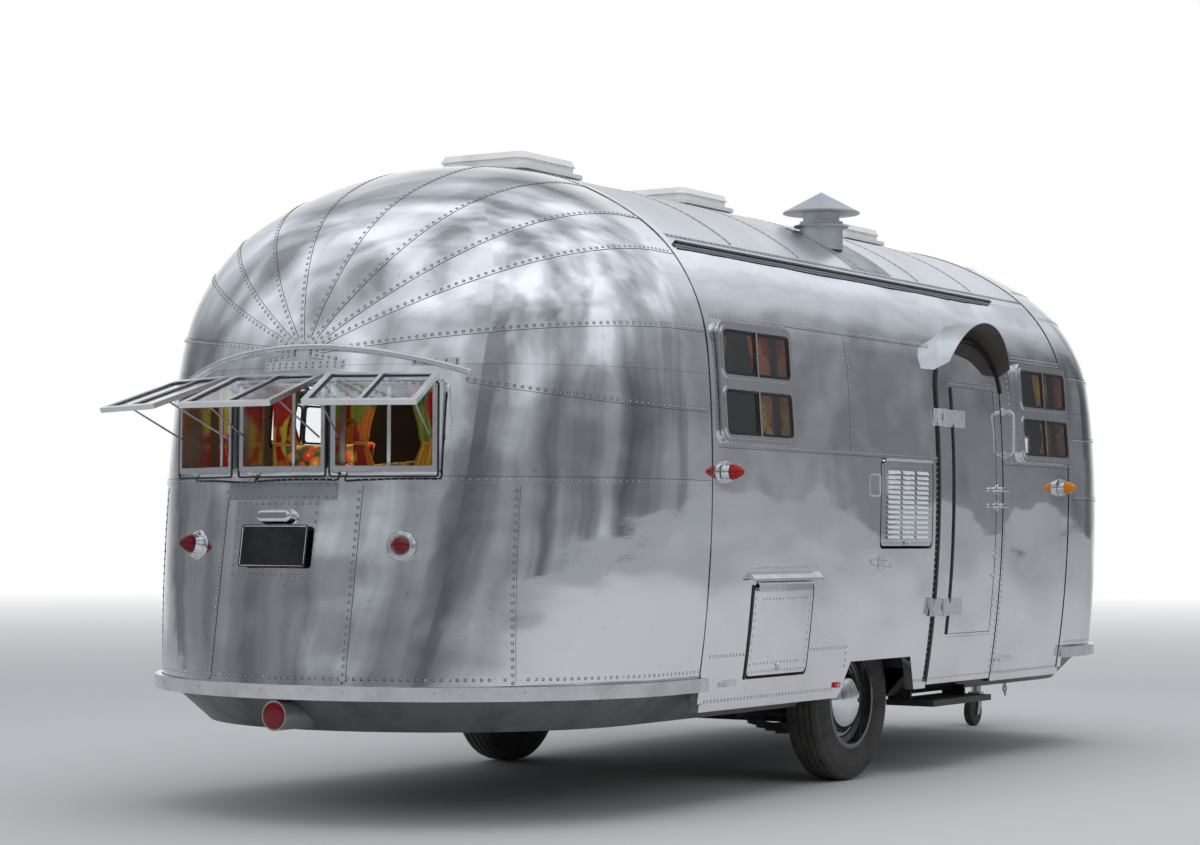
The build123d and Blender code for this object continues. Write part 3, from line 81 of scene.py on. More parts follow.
def makeCamera():
    yaw, pitch, roll = (math.radians(shot[k]) for k in ("yaw", "pitch", "roll"))
    ahead = Vector((math.cos(yaw) * math.cos(pitch), math.sin(yaw) * math.cos(pitch), math.sin(pitch)))
    right = Vector((math.sin(yaw), -math.cos(yaw), 0))
    above = right.cross(ahead)
    across = right * math.cos(roll) + above * math.sin(roll)
    up = above * math.cos(roll) - right * math.sin(roll)
    camera = bpy.data.objects.new("camera", bpy.data.cameras.new("camera"))
    bpy.context.scene.collection.objects.link(camera)
    camera.matrix_world = Matrix.Translation(shot["place"]) @ Matrix((across, up, -ahead)).transposed().to_4x4()
    camera.data.lens = shot["lens"]
    bpy.context.scene.camera = camera


makeCamera()
bpy.context.scene.view_settings.view_transform = "Standard"


# Materials
class Wire:
    # One output socket; plus, minus, times and the rest add Math nodes.
    def __init__(self, finish, socket):
        self.finish, self.socket = finish, socket

    def maths(self, kind, *values, clamp=False):
        return self.finish.node("ShaderNodeMath", {"operation": kind, "use_clamp": clamp},
                                dict(enumerate(values)))

    def __add__(self, other):
        return self.maths("ADD", self, other)

    __radd__ = __add__

    def __sub__(self, other):
        return self.maths("SUBTRACT", self, other)

    def __rsub__(self, other):
        return self.maths("SUBTRACT", other, self)

    def __mul__(self, other):
        return self.maths("MULTIPLY", self, other)

    __rmul__ = __mul__

    def __truediv__(self, other):
        return self.maths("DIVIDE", self, other)

    def __pow__(self, other):
        return self.maths("POWER", self, other)

    def __gt__(self, other):
        return self.maths("GREATER_THAN", self, other)

    def __lt__(self, other):
        return self.maths("LESS_THAN", self, other)

    def sine(self):
        return self.maths("SINE", self)


class Finish:
    def __init__(self, name):
        self.material = bpy.data.materials.new(name)
        self.material.use_nodes = True
        self.tree = self.material.node_tree
        self.shader = self.tree.nodes["Principled BSDF"]
        self.place = self.node("ShaderNodeTexCoord", out="Object")

    def node(self, kind, settings=None, values=None, out=0):
        made = self.tree.nodes.new(kind)
        for key, value in (settings or {}).items():
            if key == "stops":
                ramp = made.color_ramp
                for stop, (at, colour) in zip((ramp.elements[0], ramp.elements[1]), (value[0], value[-1])):
                    stop.position, stop.color = at, (*colour, 1)
                for at, colour in value[1:-1]:
                    ramp.elements.new(at).color = (*colour, 1)
            elif key == "fade":
                made.color_ramp.interpolation = value
            else:
                setattr(made, key, value)
        for key, value in (values or {}).items():
            if isinstance(value, Wire):
                self.tree.links.new(value.socket, made.inputs[key])
            else:
                made.inputs[key].default_value = value
        return Wire(self, made.outputs[out])

    def give(self, **values):
        # Socket names in camelCase: baseColor, roughness, coatWeight and so on.
        names = {s.name.replace(" ", "").lower(): s for s in self.shader.inputs}
        for key, value in values.items():
            socket = names[key.lower()]
            if isinstance(value, Wire):
                self.tree.links.new(value.socket, socket)
            else:
                socket.default_value = (*value, 1) if isinstance(value, tuple) and len(value) == 3 else value

    def noise(self, scale, detail=2.0, roughness=0.5, stretch=(1, 1, 1), place=None):
        where = place or self.place
        if stretch != (1, 1, 1):
            where = self.node("ShaderNodeMapping", {}, {"Vector": where, "Scale": stretch})
        return self.node("ShaderNodeTexNoise", {}, {"Vector": where, "Scale": scale, "Detail": detail,
                                                   "Roughness": roughness})

    def ramp(self, value, *stops, fade="LINEAR"):
        return self.node("ShaderNodeValToRGB", {"stops": stops, "fade": fade}, {0: value})

    def blend(self, share, first, second, kind="MIX"):
        first, second = ((*c, 1) if isinstance(c, tuple) and len(c) == 3 else c for c in (first, second))
        return self.node("ShaderNodeMix", {"data_type": "RGBA", "blend_type": kind}, {0: share, 6: first, 7: second},
                         out=2)

    def spread(self, value, low, high, start=0.0, end=1.0):
        return self.node("ShaderNodeMapRange", {}, {0: value, 1: start, 2: end, 3: low, 4: high})

    def bump(self, height, distance, strength=1.0, under=None):
        values = {"Height": height, "Distance": distance, "Strength": strength}
        if under:
            values["Normal"] = under
        return self.node("ShaderNodeBump", {}, values)

    def parts(self, vector):
        first = self.node("ShaderNodeSeparateXYZ", {}, {0: vector})
        outs = first.socket.node.outputs
        return [Wire(self, outs[i]) for i in range(3)]


def skinFinish(name, lining=None, dull=0.0):
    # Hand-polished aluminium: soft waves, haze, fine scratches; the inner face is lined.
    f = Finish(name)
    x, y, z = f.parts(f.place)
    waves = f.noise(1.7, 1.0, 0.4, (1, 1, 1.6))
    ripples = f.noise(7.0, 1.0, 0.5, (0.6, 0.6, 1))
    haze = f.noise(1.3, 5.0, 0.62)
    low = f.spread(z, 1.0, 0.0, 0.42, 1.05)
    streaks = f.noise(26.0, 3.0, 0.6, (1, 1, 0.05))
    scratches = f.noise(190.0, 2.0, 0.7, (0.06, 0.06, 1))
    cloud = f.spread(haze, 0.0, 1.0, 0.46, 0.72)
    rough = 0.012 + dull + cloud * (0.05 + low * 0.18) + streaks * 0.03 + scratches * 0.025
    tint = f.blend(cloud * 0.7 + low * 0.2, (0.875, 0.885, 0.9), (0.72, 0.725, 0.73))
    spots = f.spread(f.noise(42.0, 2.0, 0.5), 0.0, 1.0, 0.70, 0.76)
    tint = f.blend(spots * 0.5, tint, (0.45, 0.44, 0.42))
    surface = f.bump(waves, 0.034, 0.62)
    surface = f.bump(ripples, 0.005, 0.5, surface)
    surface = f.bump(scratches, 0.0002, 0.25, surface)
    metal = 1.0
    if lining:
        n = f.parts(f.node("ShaderNodeTexCoord", out="Normal"))
        ahead = f.spread(x, 0.0, 1.0, hull["frontHoop"], hull["frontHoop"] + 1)
        behind = f.spread(x, 1.0, 0.0, hull["rearHoop"] - 1, hull["rearHoop"])
        facing = n[1] * y + n[2] * (z - 1.3) + n[0] * (ahead - behind)
        inside = facing < 0
        grain = f.noise(9.0, 4.0, 0.6, (0.25, 1, 1))
        wood = f.blend(grain, tuple(c * 0.7 for c in lining), lining)
        tint = f.blend(inside, tint, wood)
        rough = rough + inside * 0.45
        metal = 1.0 - inside
    f.give(baseColor=tint, roughness=rough, metallic=metal, normal=surface)
    return f.material


def trimFinish(name, colour=(0.80, 0.81, 0.82), rough=0.22, grime=0.35):
    f = Finish(name)
    brushed = f.noise(240.0, 2.0, 0.6, (0.05, 1, 1))
    patches = f.noise(6.0, 4.0, 0.6)
    worn = f.spread(patches, 0.0, 1.0, 0.42, 0.7)
    tint = f.blend(worn * grime, colour, tuple(c * 0.55 for c in colour))
    surface = f.bump(brushed, 0.0003, 0.3)
    surface = f.bump(f.noise(22.0, 2.0), 0.0012, 0.3, surface)
    f.give(baseColor=tint, roughness=rough + brushed * 0.08 + worn * 0.14, metallic=1.0, normal=surface)
    return f.material


def chromeFinish(name, colour=(0.83, 0.84, 0.86)):
    f = Finish(name)
    smear = f.noise(18.0, 3.0, 0.6)
    pits = f.spread(f.noise(160.0, 1.0), 0.0, 1.0, 0.68, 0.74)
    tint = f.blend(pits * 0.6, f.blend(smear * 0.25, colour, (0.6, 0.6, 0.6)), (0.3, 0.28, 0.26))
    f.give(baseColor=tint, roughness=0.035 + smear * 0.07 + pits * 0.3, metallic=1.0,
           normal=f.bump(f.noise(30.0, 1.0), 0.0006, 0.25))
    return f.material


def paintedFinish(name, colour, rough=0.35, chips=(0.25, 0.2, 0.17), dust=0.35, coat=0.0):
    f = Finish(name)
    grain = f.noise(75.0, 3.0, 0.6)
    dirt = f.spread(f.noise(7.0, 5.0, 0.65), 0.0, 1.0, 0.45, 0.75)
    chip = f.spread(f.noise(60.0, 2.0, 0.5), 0.0, 1.0, 0.70, 0.73)
    tint = f.blend(dirt * dust, colour, (0.23, 0.20, 0.17))
    tint = f.blend(chip * 0.6, tint, chips)
    f.give(baseColor=tint, roughness=rough + dirt * 0.3 + grain * 0.06, coatWeight=coat, coatRoughness=0.08,
           normal=f.bump(grain, 0.0006, 0.35))
    return f.material


def rubberFinish(name, colour=(0.022, 0.022, 0.024), rough=0.62, dust=0.4):
    f = Finish(name)
    grain = f.noise(260.0, 2.0, 0.6)
    dirt = f.spread(f.noise(9.0, 5.0, 0.65), 0.0, 1.0, 0.4, 0.75)
    f.give(baseColor=f.blend(dirt * dust, colour, (0.16, 0.145, 0.125)), roughness=rough + dirt * 0.2,
           normal=f.bump(grain, 0.0004, 0.4))
    return f.material


def glassFinish(name, colour=(0.93, 0.97, 0.97), rough=0.012, smear=0.05):
    f = Finish(name)
    film = f.spread(f.noise(5.0, 4.0, 0.6), 0.0, 1.0, 0.45, 0.8)
    f.give(baseColor=colour, roughness=rough + film * smear, transmissionWeight=1.0, ior=1.45,
           normal=f.bump(f.noise(3.0, 1.0), 0.0008, 0.15))
    return f.material


def lensFinish(name, colour):
    f = Finish(name)
    depth = f.noise(60.0, 1.0)
    tint = f.blend(depth, tuple(c * 0.6 for c in colour), colour)
    # Emission strength 0.02 is a painted glow on each lens, the carrier-tube reflector too; no lamp in them is lit.
    f.give(baseColor=tint, roughness=0.07 + depth * 0.06, transmissionWeight=0.1, ior=1.45, coatWeight=0.0,
           coatRoughness=0.04, emissionColor=colour, emissionStrength=0.02,
           normal=f.bump(f.noise(90.0, 1.0), 0.0004, 0.2))
    return f.material


def woodFinish(name, light, dark, ply=1.0):
    f = Finish(name)
    rings = f.noise(5.0, 5.0, 0.62, (0.14, 1, 1))
    pores = f.noise(120.0, 2.0, 0.6, (0.05, 1, 1))
    tint = f.blend(f.spread(rings, 0.0, 1.0, 0.35, 0.68), dark, light)
    tint = f.blend(pores * 0.3 * ply, tint, tuple(c * 0.5 for c in dark))
    f.give(baseColor=tint, roughness=0.38 + pores * 0.2, coatWeight=0.25, coatRoughness=0.2,
           normal=f.bump(pores, 0.0005, 0.4))
    return f.material


def plasticFinish(name, colour, rough=0.42):
    f = Finish(name)
    grain = f.noise(170.0, 2.0)
    stain = f.spread(f.noise(6.0, 4.0, 0.6), 0.0, 1.0, 0.45, 0.8)
    f.give(baseColor=f.blend(stain * 0.45, colour, tuple(c * 0.62 for c in colour)), roughness=rough + grain * 0.1,
           normal=f.bump(grain, 0.0005, 0.3))
    return f.material


def curtainFinish(name):
    # Printed cotton: loose blocks of red, orange, yellow and green, with a plain weave.
    f = Finish(name)
    cloth = f.node("ShaderNodeTexCoord", out="UV")
    x, y, z = f.parts(cloth)
    wander = f.noise(6.0, 2.0, 0.5, place=cloth)
    blocks = f.node("ShaderNodeTexVoronoi", {"feature": "F1"},
                    {"Vector": cloth, "Scale": 7.5, "Randomness": 0.85}, out="Color")
    pick = f.parts(blocks)[0]
    tint = f.ramp(pick + wander * 0.16 - 0.08, (0.0, (0.62, 0.03, 0.02)), (0.36, (0.70, 0.05, 0.02)),
                  (0.40, (0.83, 0.26, 0.03)), (0.55, (0.86, 0.48, 0.05)), (0.62, (0.80, 0.62, 0.08)),
                  (0.74, (0.36, 0.42, 0.05)), (0.84, (0.14, 0.26, 0.05)), (0.90, (0.60, 0.04, 0.03)),
                  fade="CONSTANT")
    rings = f.node("ShaderNodeTexVoronoi", {"feature": "DISTANCE_TO_EDGE"},
                   {"Vector": cloth, "Scale": 7.5, "Randomness": 0.85})
    tint = f.blend((rings < 0.03) * 0.3, tint, (0.45, 0.12, 0.02))
    threads = (x * 900.0).sine() * (y * 900.0).sine()
    f.give(baseColor=tint, roughness=0.82, sheenWeight=0.3, sheenRoughness=0.4,
           normal=f.bump(threads, 0.0003, 0.4))
    return f.material


def floralFinish(name):
    # Woven olive ground with scattered red and orange rosettes and small leaves.
    f = Finish(name)
    blooms = f.node("ShaderNodeTexVoronoi", {"feature": "F1"},
                    {"Vector": f.place, "Scale": 17.0, "Randomness": 0.8})
    pick = f.parts(f.node("ShaderNodeTexVoronoi", {"feature": "F1"},
                          {"Vector": f.place, "Scale": 17.0, "Randomness": 0.8}, out="Color"))[1]
    ragged = blooms + f.noise(70.0, 2.0) * 0.10
    petal = ragged < 0.52
    heart = ragged < 0.25
    leaves = f.node("ShaderNodeTexVoronoi", {"feature": "SMOOTH_F1"},
                    {"Vector": f.node("ShaderNodeMapping", {}, {"Vector": f.place, "Scale": (1.0, 1.7, 0.8)}),
                     "Scale": 24.0, "Randomness": 1.0}) < 0.22
    ground = f.blend(f.noise(30.0, 3.0), (0.050, 0.048, 0.012), (0.095, 0.085, 0.022))
    bloom = f.ramp(pick, (0.0, (0.55, 0.035, 0.02)), (0.45, (0.70, 0.22, 0.03)), (0.75, (0.58, 0.05, 0.025)))
    tint = f.blend(leaves * 0.8, ground, (0.16, 0.19, 0.03))
    tint = f.blend(petal, tint, bloom)
    tint = f.blend(heart, tint, (0.86, 0.55, 0.10))
    weave = f.noise(900.0, 1.0)
    f.give(baseColor=tint, roughness=0.86, sheenWeight=0.08, sheenRoughness=0.5,
           normal=f.bump(weave, 0.0006, 0.5))
    return f.material


def hoodFinish(name):
    # Satin sheet outside, dark and dull under the arch.
    f = Finish(name)
    x, y, z = f.parts(f.place)
    n = f.parts(f.node("ShaderNodeTexCoord", out="Normal"))
    (lowX, lowY, lowZ), (highX, highY, highZ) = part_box("door_hood")
    inside = (n[0] * (x - (lowX + highX) / 2) + n[2] * (z - (lowZ - 0.10))) < -0.004
    brushed = f.noise(150.0, 2.0, 0.6, (0.1, 1, 1))
    patches = f.spread(f.noise(7.0, 4.0, 0.6), 0.0, 1.0, 0.42, 0.72)
    tint = f.blend(patches * 0.4, (0.78, 0.79, 0.80), (0.58, 0.58, 0.59))
    under = f.blend(patches, (0.10, 0.085, 0.078), (0.17, 0.15, 0.14))
    f.give(baseColor=f.blend(inside, tint, under), roughness=0.30 + brushed * 0.1 + inside * 0.3,
           metallic=1.0 - inside * 0.6, normal=f.bump(f.noise(9.0, 2.0), 0.003, 0.3))
    return f.material


def railFinish(name):
    # Aluminium awning rail with a black welt in its groove.
    f = Finish(name)
    x, y, z = f.parts(f.place)
    (_, _, low), (_, _, high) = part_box("awning_rails")
    tall = high - low
    welt = (z > low + 0.30 * tall) * (z < low + 0.86 * tall)
    wear = f.noise(40.0, 3.0, 0.6)
    f.give(baseColor=f.blend(welt, f.blend(wear * 0.5, (0.60, 0.61, 0.62), (0.36, 0.36, 0.36)), (0.016, 0.016, 0.017)),
           roughness=0.34 + welt * 0.25, metallic=1.0 - welt, normal=f.bump(wear, 0.0004, 0.4))
    return f.material


def rimFinish(name):
    # Gloss black with a thin silver line round the face.
    f = Finish(name)
    x, y, z = f.parts(f.place)
    across, up = x + 0.459, z - 0.338
    reach = (across * across + up * up) ** 0.5
    line = (reach > 0.146) * (reach < 0.151)
    dirt = f.spread(f.noise(9.0, 5.0, 0.65), 0.0, 1.0, 0.45, 0.75)
    tint = f.blend(dirt * 0.2, f.blend(line, (0.011, 0.011, 0.012), (0.62, 0.62, 0.60)), (0.20, 0.175, 0.15))
    f.give(baseColor=tint, roughness=0.10 + dirt * 0.35, coatWeight=0.7, coatRoughness=0.06,
           normal=f.bump(f.noise(90.0, 2.0), 0.0004, 0.25))
    return f.material


finishes = {
    "polishedSkin": skinFinish("polishedSkin", lining=(0.22, 0.14, 0.08)),
    "roofSkin": skinFinish("roofSkin", lining=(0.22, 0.14, 0.08), dull=0.30),
    "bellySkin": trimFinish("bellySkin", (0.24, 0.24, 0.24), 0.45, 0.7),
    "seamMetal": skinFinish("seamMetal", dull=0.04),
    # Dark finish: painted shadow along the sheet laps, and real grime in the rings round the rivet heads.
    "lapShadow": trimFinish("lapShadow", (0.07, 0.07, 0.075), 0.5, 0.3),
    "rivetMetal": trimFinish("rivetMetal", (0.90, 0.91, 0.92), 0.12, 0.15),
    "brightTrim": trimFinish("brightTrim", (0.80, 0.81, 0.82), 0.17, 0.35),
    "greyTrim": trimFinish("greyTrim", (0.50, 0.52, 0.54), 0.34, 0.5),
    "flueSheet": trimFinish("flueSheet", (0.74, 0.75, 0.77), 0.44, 0.3),
    "dullPlate": trimFinish("dullPlate", (0.86, 0.87, 0.88), 0.46, 0.3),
    # Pale non-metal sheet on the louvre faces: painted reflection of a bright sky.
    "louvreSheet": paintedFinish("louvreSheet", (0.80, 0.82, 0.85), 0.34, chips=(0.7, 0.7, 0.7), dust=0.1),
    "chrome": chromeFinish("chrome"),
    "darkChrome": chromeFinish("darkChrome", (0.6, 0.6, 0.6)),
    "blackSteel": paintedFinish("blackSteel", (0.018, 0.018, 0.018), 0.4),
    "wheelPaint": rimFinish("wheelPaint"),
    "hoodSheet": hoodFinish("hoodSheet"),
    "awningRail": railFinish("awningRail"),
    "zincSteel": trimFinish("zincSteel", (0.52, 0.53, 0.53), 0.36, 0.6),
    "tyreRubber": rubberFinish("tyreRubber", (0.028, 0.027, 0.027), 0.66, 0.5),
    "sealRubber": rubberFinish("sealRubber", (0.012, 0.012, 0.013), 0.45, 0.15),
    "paleGlass": glassFinish("paleGlass"),
    "redLens": lensFinish("redLens", (0.20, 0.004, 0.007)),
    "markerRed": lensFinish("markerRed", (0.50, 0.008, 0.010)),
    "amberLens": lensFinish("amberLens", (0.95, 0.32, 0.01)),
    "plateBlack": paintedFinish("plateBlack", (0.010, 0.010, 0.011), 0.2, chips=(0.02, 0.02, 0.02), dust=0.05),
    "plateEdge": paintedFinish("plateEdge", (0.86, 0.87, 0.86), 0.35, chips=(0.6, 0.6, 0.6), dust=0.1),
    "roofPlastic": plasticFinish("roofPlastic", (0.80, 0.81, 0.79)),
    "floorWood": woodFinish("floorWood", (0.50, 0.34, 0.19), (0.33, 0.2, 0.1)),
    "birchWood": woodFinish("birchWood", (0.58, 0.37, 0.18), (0.40, 0.23, 0.10)),
    "printedCotton": curtainFinish("printedCotton"),
    "floralWeave": floralFinish("floralWeave"),
    "clipRed": plasticFinish("clipRed", (0.62, 0.02, 0.02), 0.35),
}
print("finishes made", len(finishes))

nodeFinishes = {
    "polishedSkin": ["wall_left", "wall_right", "rear_cap_lower", "rear_cap_upper", "front_cap_lower",
                     "front_cap_upper", "door", "hatch", "vent_panel"],
    "roofSkin": ["roof"],
    "bellySkin": ["belly_pan", "belly_wraps", "wheel_housings"],
    "hoodSheet": ["door_hood"],
    "brightTrim": ["rub_rails", "side_window_frames", "drip_rails", "rear_window_frames",
                   "front_window_frames", "rear_sashes", "front_sashes", "side_window_sashes"],
    "flueSheet": ["flue_stack"],
    "awningRail": ["awning_rails"],
    "dullPlate": ["door_hinges", "wall_fittings"],
    "chrome": ["tail_lamp_bezels", "marker_bases", "plate_lamp", "door_handles", "hubcap_left", "hubcap_right"],
    "blackSteel": ["chassis_frame", "coupler", "axle", "leaf_springs", "entry_step"],
    "zincSteel": ["jockey_post", "jockey_fork", "carrier_tube", "safety_chains", "sash_stays", "curtain_rods"],
    "tyreRubber": ["tyre_left", "tyre_right", "jockey_wheel"],
    "wheelPaint": ["rim_left", "rim_right"],
    "paleGlass": ["side_window_glass", "rear_sash_glass", "front_sash_glass"],
    "redLens": ["tail_lamp_lenses"],
    "markerRed": ["marker_lenses"],
    "plateBlack": ["number_plate"],
    "roofPlastic": ["roof_hatches"],
    "floorWood": ["floor"],
    "birchWood": ["lounge_base"],
    "printedCotton": ["curtains"],
    "floralWeave": ["lounge_cushion", "loose_cushion"],
}
for finish, names in nodeFinishes.items():
    for name in names:
        for slot in nodes[name].material_slots:
            slot.material = finishes[finish]


# Pieces
def finishPiece(mesh, name, finish, body="body", smooth=30):
    # Turns a bmesh into an object that rides on a body.
    data = bpy.data.meshes.new(name)
    mesh.to_mesh(data)
    mesh.free()
    piece = bpy.data.objects.new(name, data)
    bpy.context.scene.collection.objects.link(piece)
    for material in ([finish] if isinstance(finish, str) else finish):
        data.materials.append(finishes[material])
    if smooth:
        data.shade_smooth()
        data.set_sharp_from_angle(angle=math.radians(smooth))
    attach(piece, body)
    return piece


def facing(point, normal, up=(0, 0, 1)):
    # Placement whose Z is the normal and whose Y is as near up as it can be.
    normal = Vector(normal).normalized()
    across = Vector(up).cross(normal)
    if across.length < 1e-4:
        across = Vector((1, 0, 0)).cross(normal)
    across.normalize()
    return Matrix.Translation(point) @ Matrix((across, normal.cross(across), normal)).transposed().to_4x4()


capTrees = {}
for end in ("rear", "front"):
    whole = bmesh.new()
    for part in ("lower", "upper"):
        whole.from_mesh(nodes[f"{end}_cap_{part}"].data)
    capTrees[end] = BVHTree.FromBMesh(whole)
    whole.free()


def capHit(end, start, heading):
    # Where a ray from inside the body leaves the outer skin of an end cap.
    start, heading = Vector(start), Vector(heading).normalized()
    place, normal, _, _ = capTrees[end].ray_cast(start + heading * 3.0, -heading)
    if place is None or (place - start).dot(heading) < 0.3:
        return None
    return place, (normal if normal.dot(heading) > 0 else -normal)


rivet = {"radius": 0.0041, "height": 0.0026, "sides": 8, "halo": 1.5}
rivetPair = ["rivetMetal", "lapShadow"]


def plantRivets(total, spots, radius=None, lift=0.0):
    # Heads with the grime ring that collects round each.
    line = bmesh.new()
    r = radius or rivet["radius"]
    for point, normal in spots:
        made = bmesh.ops.create_cone(line, cap_ends=True, segments=rivet["sides"], radius1=r, radius2=r * 0.5,
                                     depth=rivet["height"])
        bmesh.ops.transform(line, verts=made["verts"],
                            matrix=facing(point + normal * (lift + rivet["height"] / 2), normal))
        ring = bmesh.ops.create_circle(line, cap_ends=True, segments=rivet["sides"], radius=r * rivet["halo"])
        bmesh.ops.transform(line, verts=ring["verts"], matrix=facing(point + normal * (lift + 0.0003), normal))
        ring["verts"][0].link_faces[0].material_index = 1
    passing = bpy.data.meshes.new("rivetLine")
    line.to_mesh(passing)
    line.free()
    total.from_mesh(passing)
    bpy.data.meshes.remove(passing)


def layStrip(total, spots, width, thick, lift=0.0):
    # A flat strip of metal along a line of points on the skin.
    strip = bmesh.new()
    for i, (point, normal) in enumerate(spots):
        ahead = (spots[min(i + 1, len(spots) - 1)][0] - spots[max(i - 1, 0)][0]).normalized()
        across = ahead.cross(normal).normalized()
        strip.verts.new(point + across * (width / 2) + normal * (thick + lift))
    strip.verts.ensure_lookup_table()
    edges = [strip.edges.new((a, b)) for a, b in zip(strip.verts[:-1], strip.verts[1:])]
    made = bmesh.ops.extrude_edge_only(strip, edges=edges)
    moved = [v for v in made["geom"] if isinstance(v, bmesh.types.BMVert)]
    for vert, (point, normal), i in zip(moved, spots, range(len(spots))):
        ahead = (spots[min(i + 1, len(spots) - 1)][0] - spots[max(i - 1, 0)][0]).normalized()
        across = ahead.cross(normal).normalized()
        vert.co = point - across * (width / 2) + normal * (thick + lift)
    strip.normal_update()
    strip.faces.ensure_lookup_table()
    if strip.faces[0].normal.dot(spots[0][1]) < 0:
        bmesh.ops.reverse_faces(strip, faces=strip.faces[:])
    bmesh.ops.solidify(strip, geom=strip.faces[:], thickness=thick * 1.5)
    passing = bpy.data.meshes.new("stripLine")
    strip.to_mesh(passing)
    strip.free()
    total.from_mesh(passing)
    bpy.data.meshes.remove(passing)


lap = {"width": 0.0034, "thick": 0.0009}


def layLapShadow(total, spots, away):
    # Painted shadow: a thin dark strip where one sheet overlaps the next, beside a strip.
    moved = []
    for i, (point, normal) in enumerate(spots):
        ahead = (spots[min(i + 1, len(spots) - 1)][0] - spots[max(i - 1, 0)][0]).normalized()
        moved.append((point + ahead.cross(normal).normalized() * away, normal))
    layStrip(total, moved, lap["width"], lap["thick"])


def sideLine(x0, z0, x1, z1, side, step):
    count = max(int(math.hypot(x1 - x0, z1 - z0) / step), 1)
    return [sidePoint(x0 + (x1 - x0) * i / count, z0 + (z1 - z0) * i / count, side) for i in range(count + 1)]


def evenly(spots, step):
    # Points a set distance apart along a line of points.
    out, left = [], 0.0
    for (a, na), (b, nb) in zip(spots, spots[1:]):
        length = (b - a).length
        while left < length:
            t = left / length
            out.append((a.lerp(b, t), na.lerp(nb, t).normalized()))
            left += step
        left -= length
    return out




def local(x):
    return hull["rearHoop"] + x


class Trees:
    # Surfaces of the solids, for setting fasteners on them.
    made = {}

    @classmethod
    def get(cls, *names):
        if names not in cls.made:
            whole = bmesh.new()
            for name in names:
                whole.from_mesh(nodes[name].data)
            cls.made[names] = BVHTree.FromBMesh(whole)
            whole.free()
        return cls.made[names]


def strike(x, z, side, *names):
    # First surface met from outside at a place on a side; the normal is smoothed over 12 mm.
    tree = Trees.get(*names)
    start = 1.6

    def hit(dx, dz):
        place = tree.ray_cast(Vector((x + dx, side * start, z + dz)), Vector((0, -side, 0)))[0]
        return place

    middle = hit(0, 0)
    if middle is None:
        return None
    normal = Vector((0, side, 0))
    a, b, c, d = hit(0.006, 0), hit(-0.006, 0), hit(0, 0.006), hit(0, -0.006)
    if a and b and c and d:
        found = (a - b).cross(c - d)
        if found.length > 0:
            found.normalize()
            found = found if found.y * side > 0 else -found
            if abs(found.y) > 0.8:
                normal = found
    return middle, normal


def clearOf(x, z, side):
    # True where the side wall is bare, away from windows, lids, door, hood and wheel arch.
    gaps = [(0.028, 0.622, 1.374, 1.842), (2.863, 3.457, 1.374, 1.842)]
    if side < 0:
        gaps += [(1.392, 1.932, 0.968, 1.364), (0.316, 0.844, 0.468, 0.912), (1.986, 2.684, 0.370, 1.915),
                 (1.976, 2.690, 1.750, 1.990)]
    else:
        gaps += [(1.463, 2.057, 1.374, 1.842)]
    if any(x0 < x < x1 and z0 < z < z1 for x0, x1, z0, z1 in gaps):
        return False
    arch = [(1.08, 0.36), (1.10, 0.42), (1.225, 0.530), (1.795, 0.530), (1.88, 0.36)]
    for (xa, za), (xb, zb) in zip(arch, arch[1:]):
        if xa <= x <= xb and z < za + (zb - za) * (x - xa) / (xb - xa):
            return False
    return True


def runs(spots, keep):
    # Splits a line of points where it meets something.
    out, run = [], []
    for spot in spots:
        if spot is not None and keep(spot[0]):
            run.append(spot)
        elif run:
            out.append(run)
            run = []
    if run:
        out.append(run)
    return [r for r in out if len(r) > 1]


seam = {"width": 0.022, "thick": 0.0012, "rivetStep": 0.026, "wallStep": 0.03}

# Rows: start x, start z, end x, end z, strip or not
doorSideSeams = [
    (0.012, 1.372, 3.478, 1.372, True), (0.012, 1.866, 3.478, 1.866, True), (0.012, 0.577, 1.168, 0.577, False),
    (1.168, 0.577, 1.168, 0.480, False), (1.140, 1.385, 1.140, 1.853, True), (0.012, 0.408, 3.478, 0.408, False),
    (1.962, 0.400, 1.962, 1.360, False), (2.700, 0.420, 2.700, 1.360, False), (2.78, 1.385, 2.78, 1.853, False),
]
farSideSeams = [
    (0.012, 1.372, 3.478, 1.372, True), (0.012, 1.866, 3.478, 1.866, True), (0.012, 0.577, 3.478, 0.577, False),
    (1.140, 0.560, 1.140, 1.853, True), (2.360, 0.420, 2.360, 1.853, True), (0.012, 0.408, 3.478, 0.408, False),
]


def dressSides():
    strips, rivets, laps = bmesh.new(), bmesh.new(), bmesh.new()
    for side, rows in ((-1, doorSideSeams), (1, farSideSeams)):
        for x0, z0, x1, z1, strip in rows:
            spots = sideLine(local(x0), z0, local(x1), z1, side, 0.012)
            for run in runs(spots, lambda p: clearOf(p.x - hull["rearHoop"], p.z, side)):
                if strip:
                    thinned = run[::3] + ([run[-1]] if (len(run) - 1) % 3 else [])
                    layStrip(strips, thinned, seam["width"], seam["thick"])
                    layLapShadow(laps, thinned, seam["width"] / 2)
                plantRivets(rivets, evenly(run, seam["rivetStep"]), lift=seam["thick"] if strip else 0)
    for x0, x1 in ((0.02, 0.63), (2.855, 3.465)):
        for side in (-1, 1):
            plantRivets(rivets, evenly(sideLine(local(x0), 1.852, local(x1), 1.852, side, 0.05), 0.024))
    return strips, rivets, laps


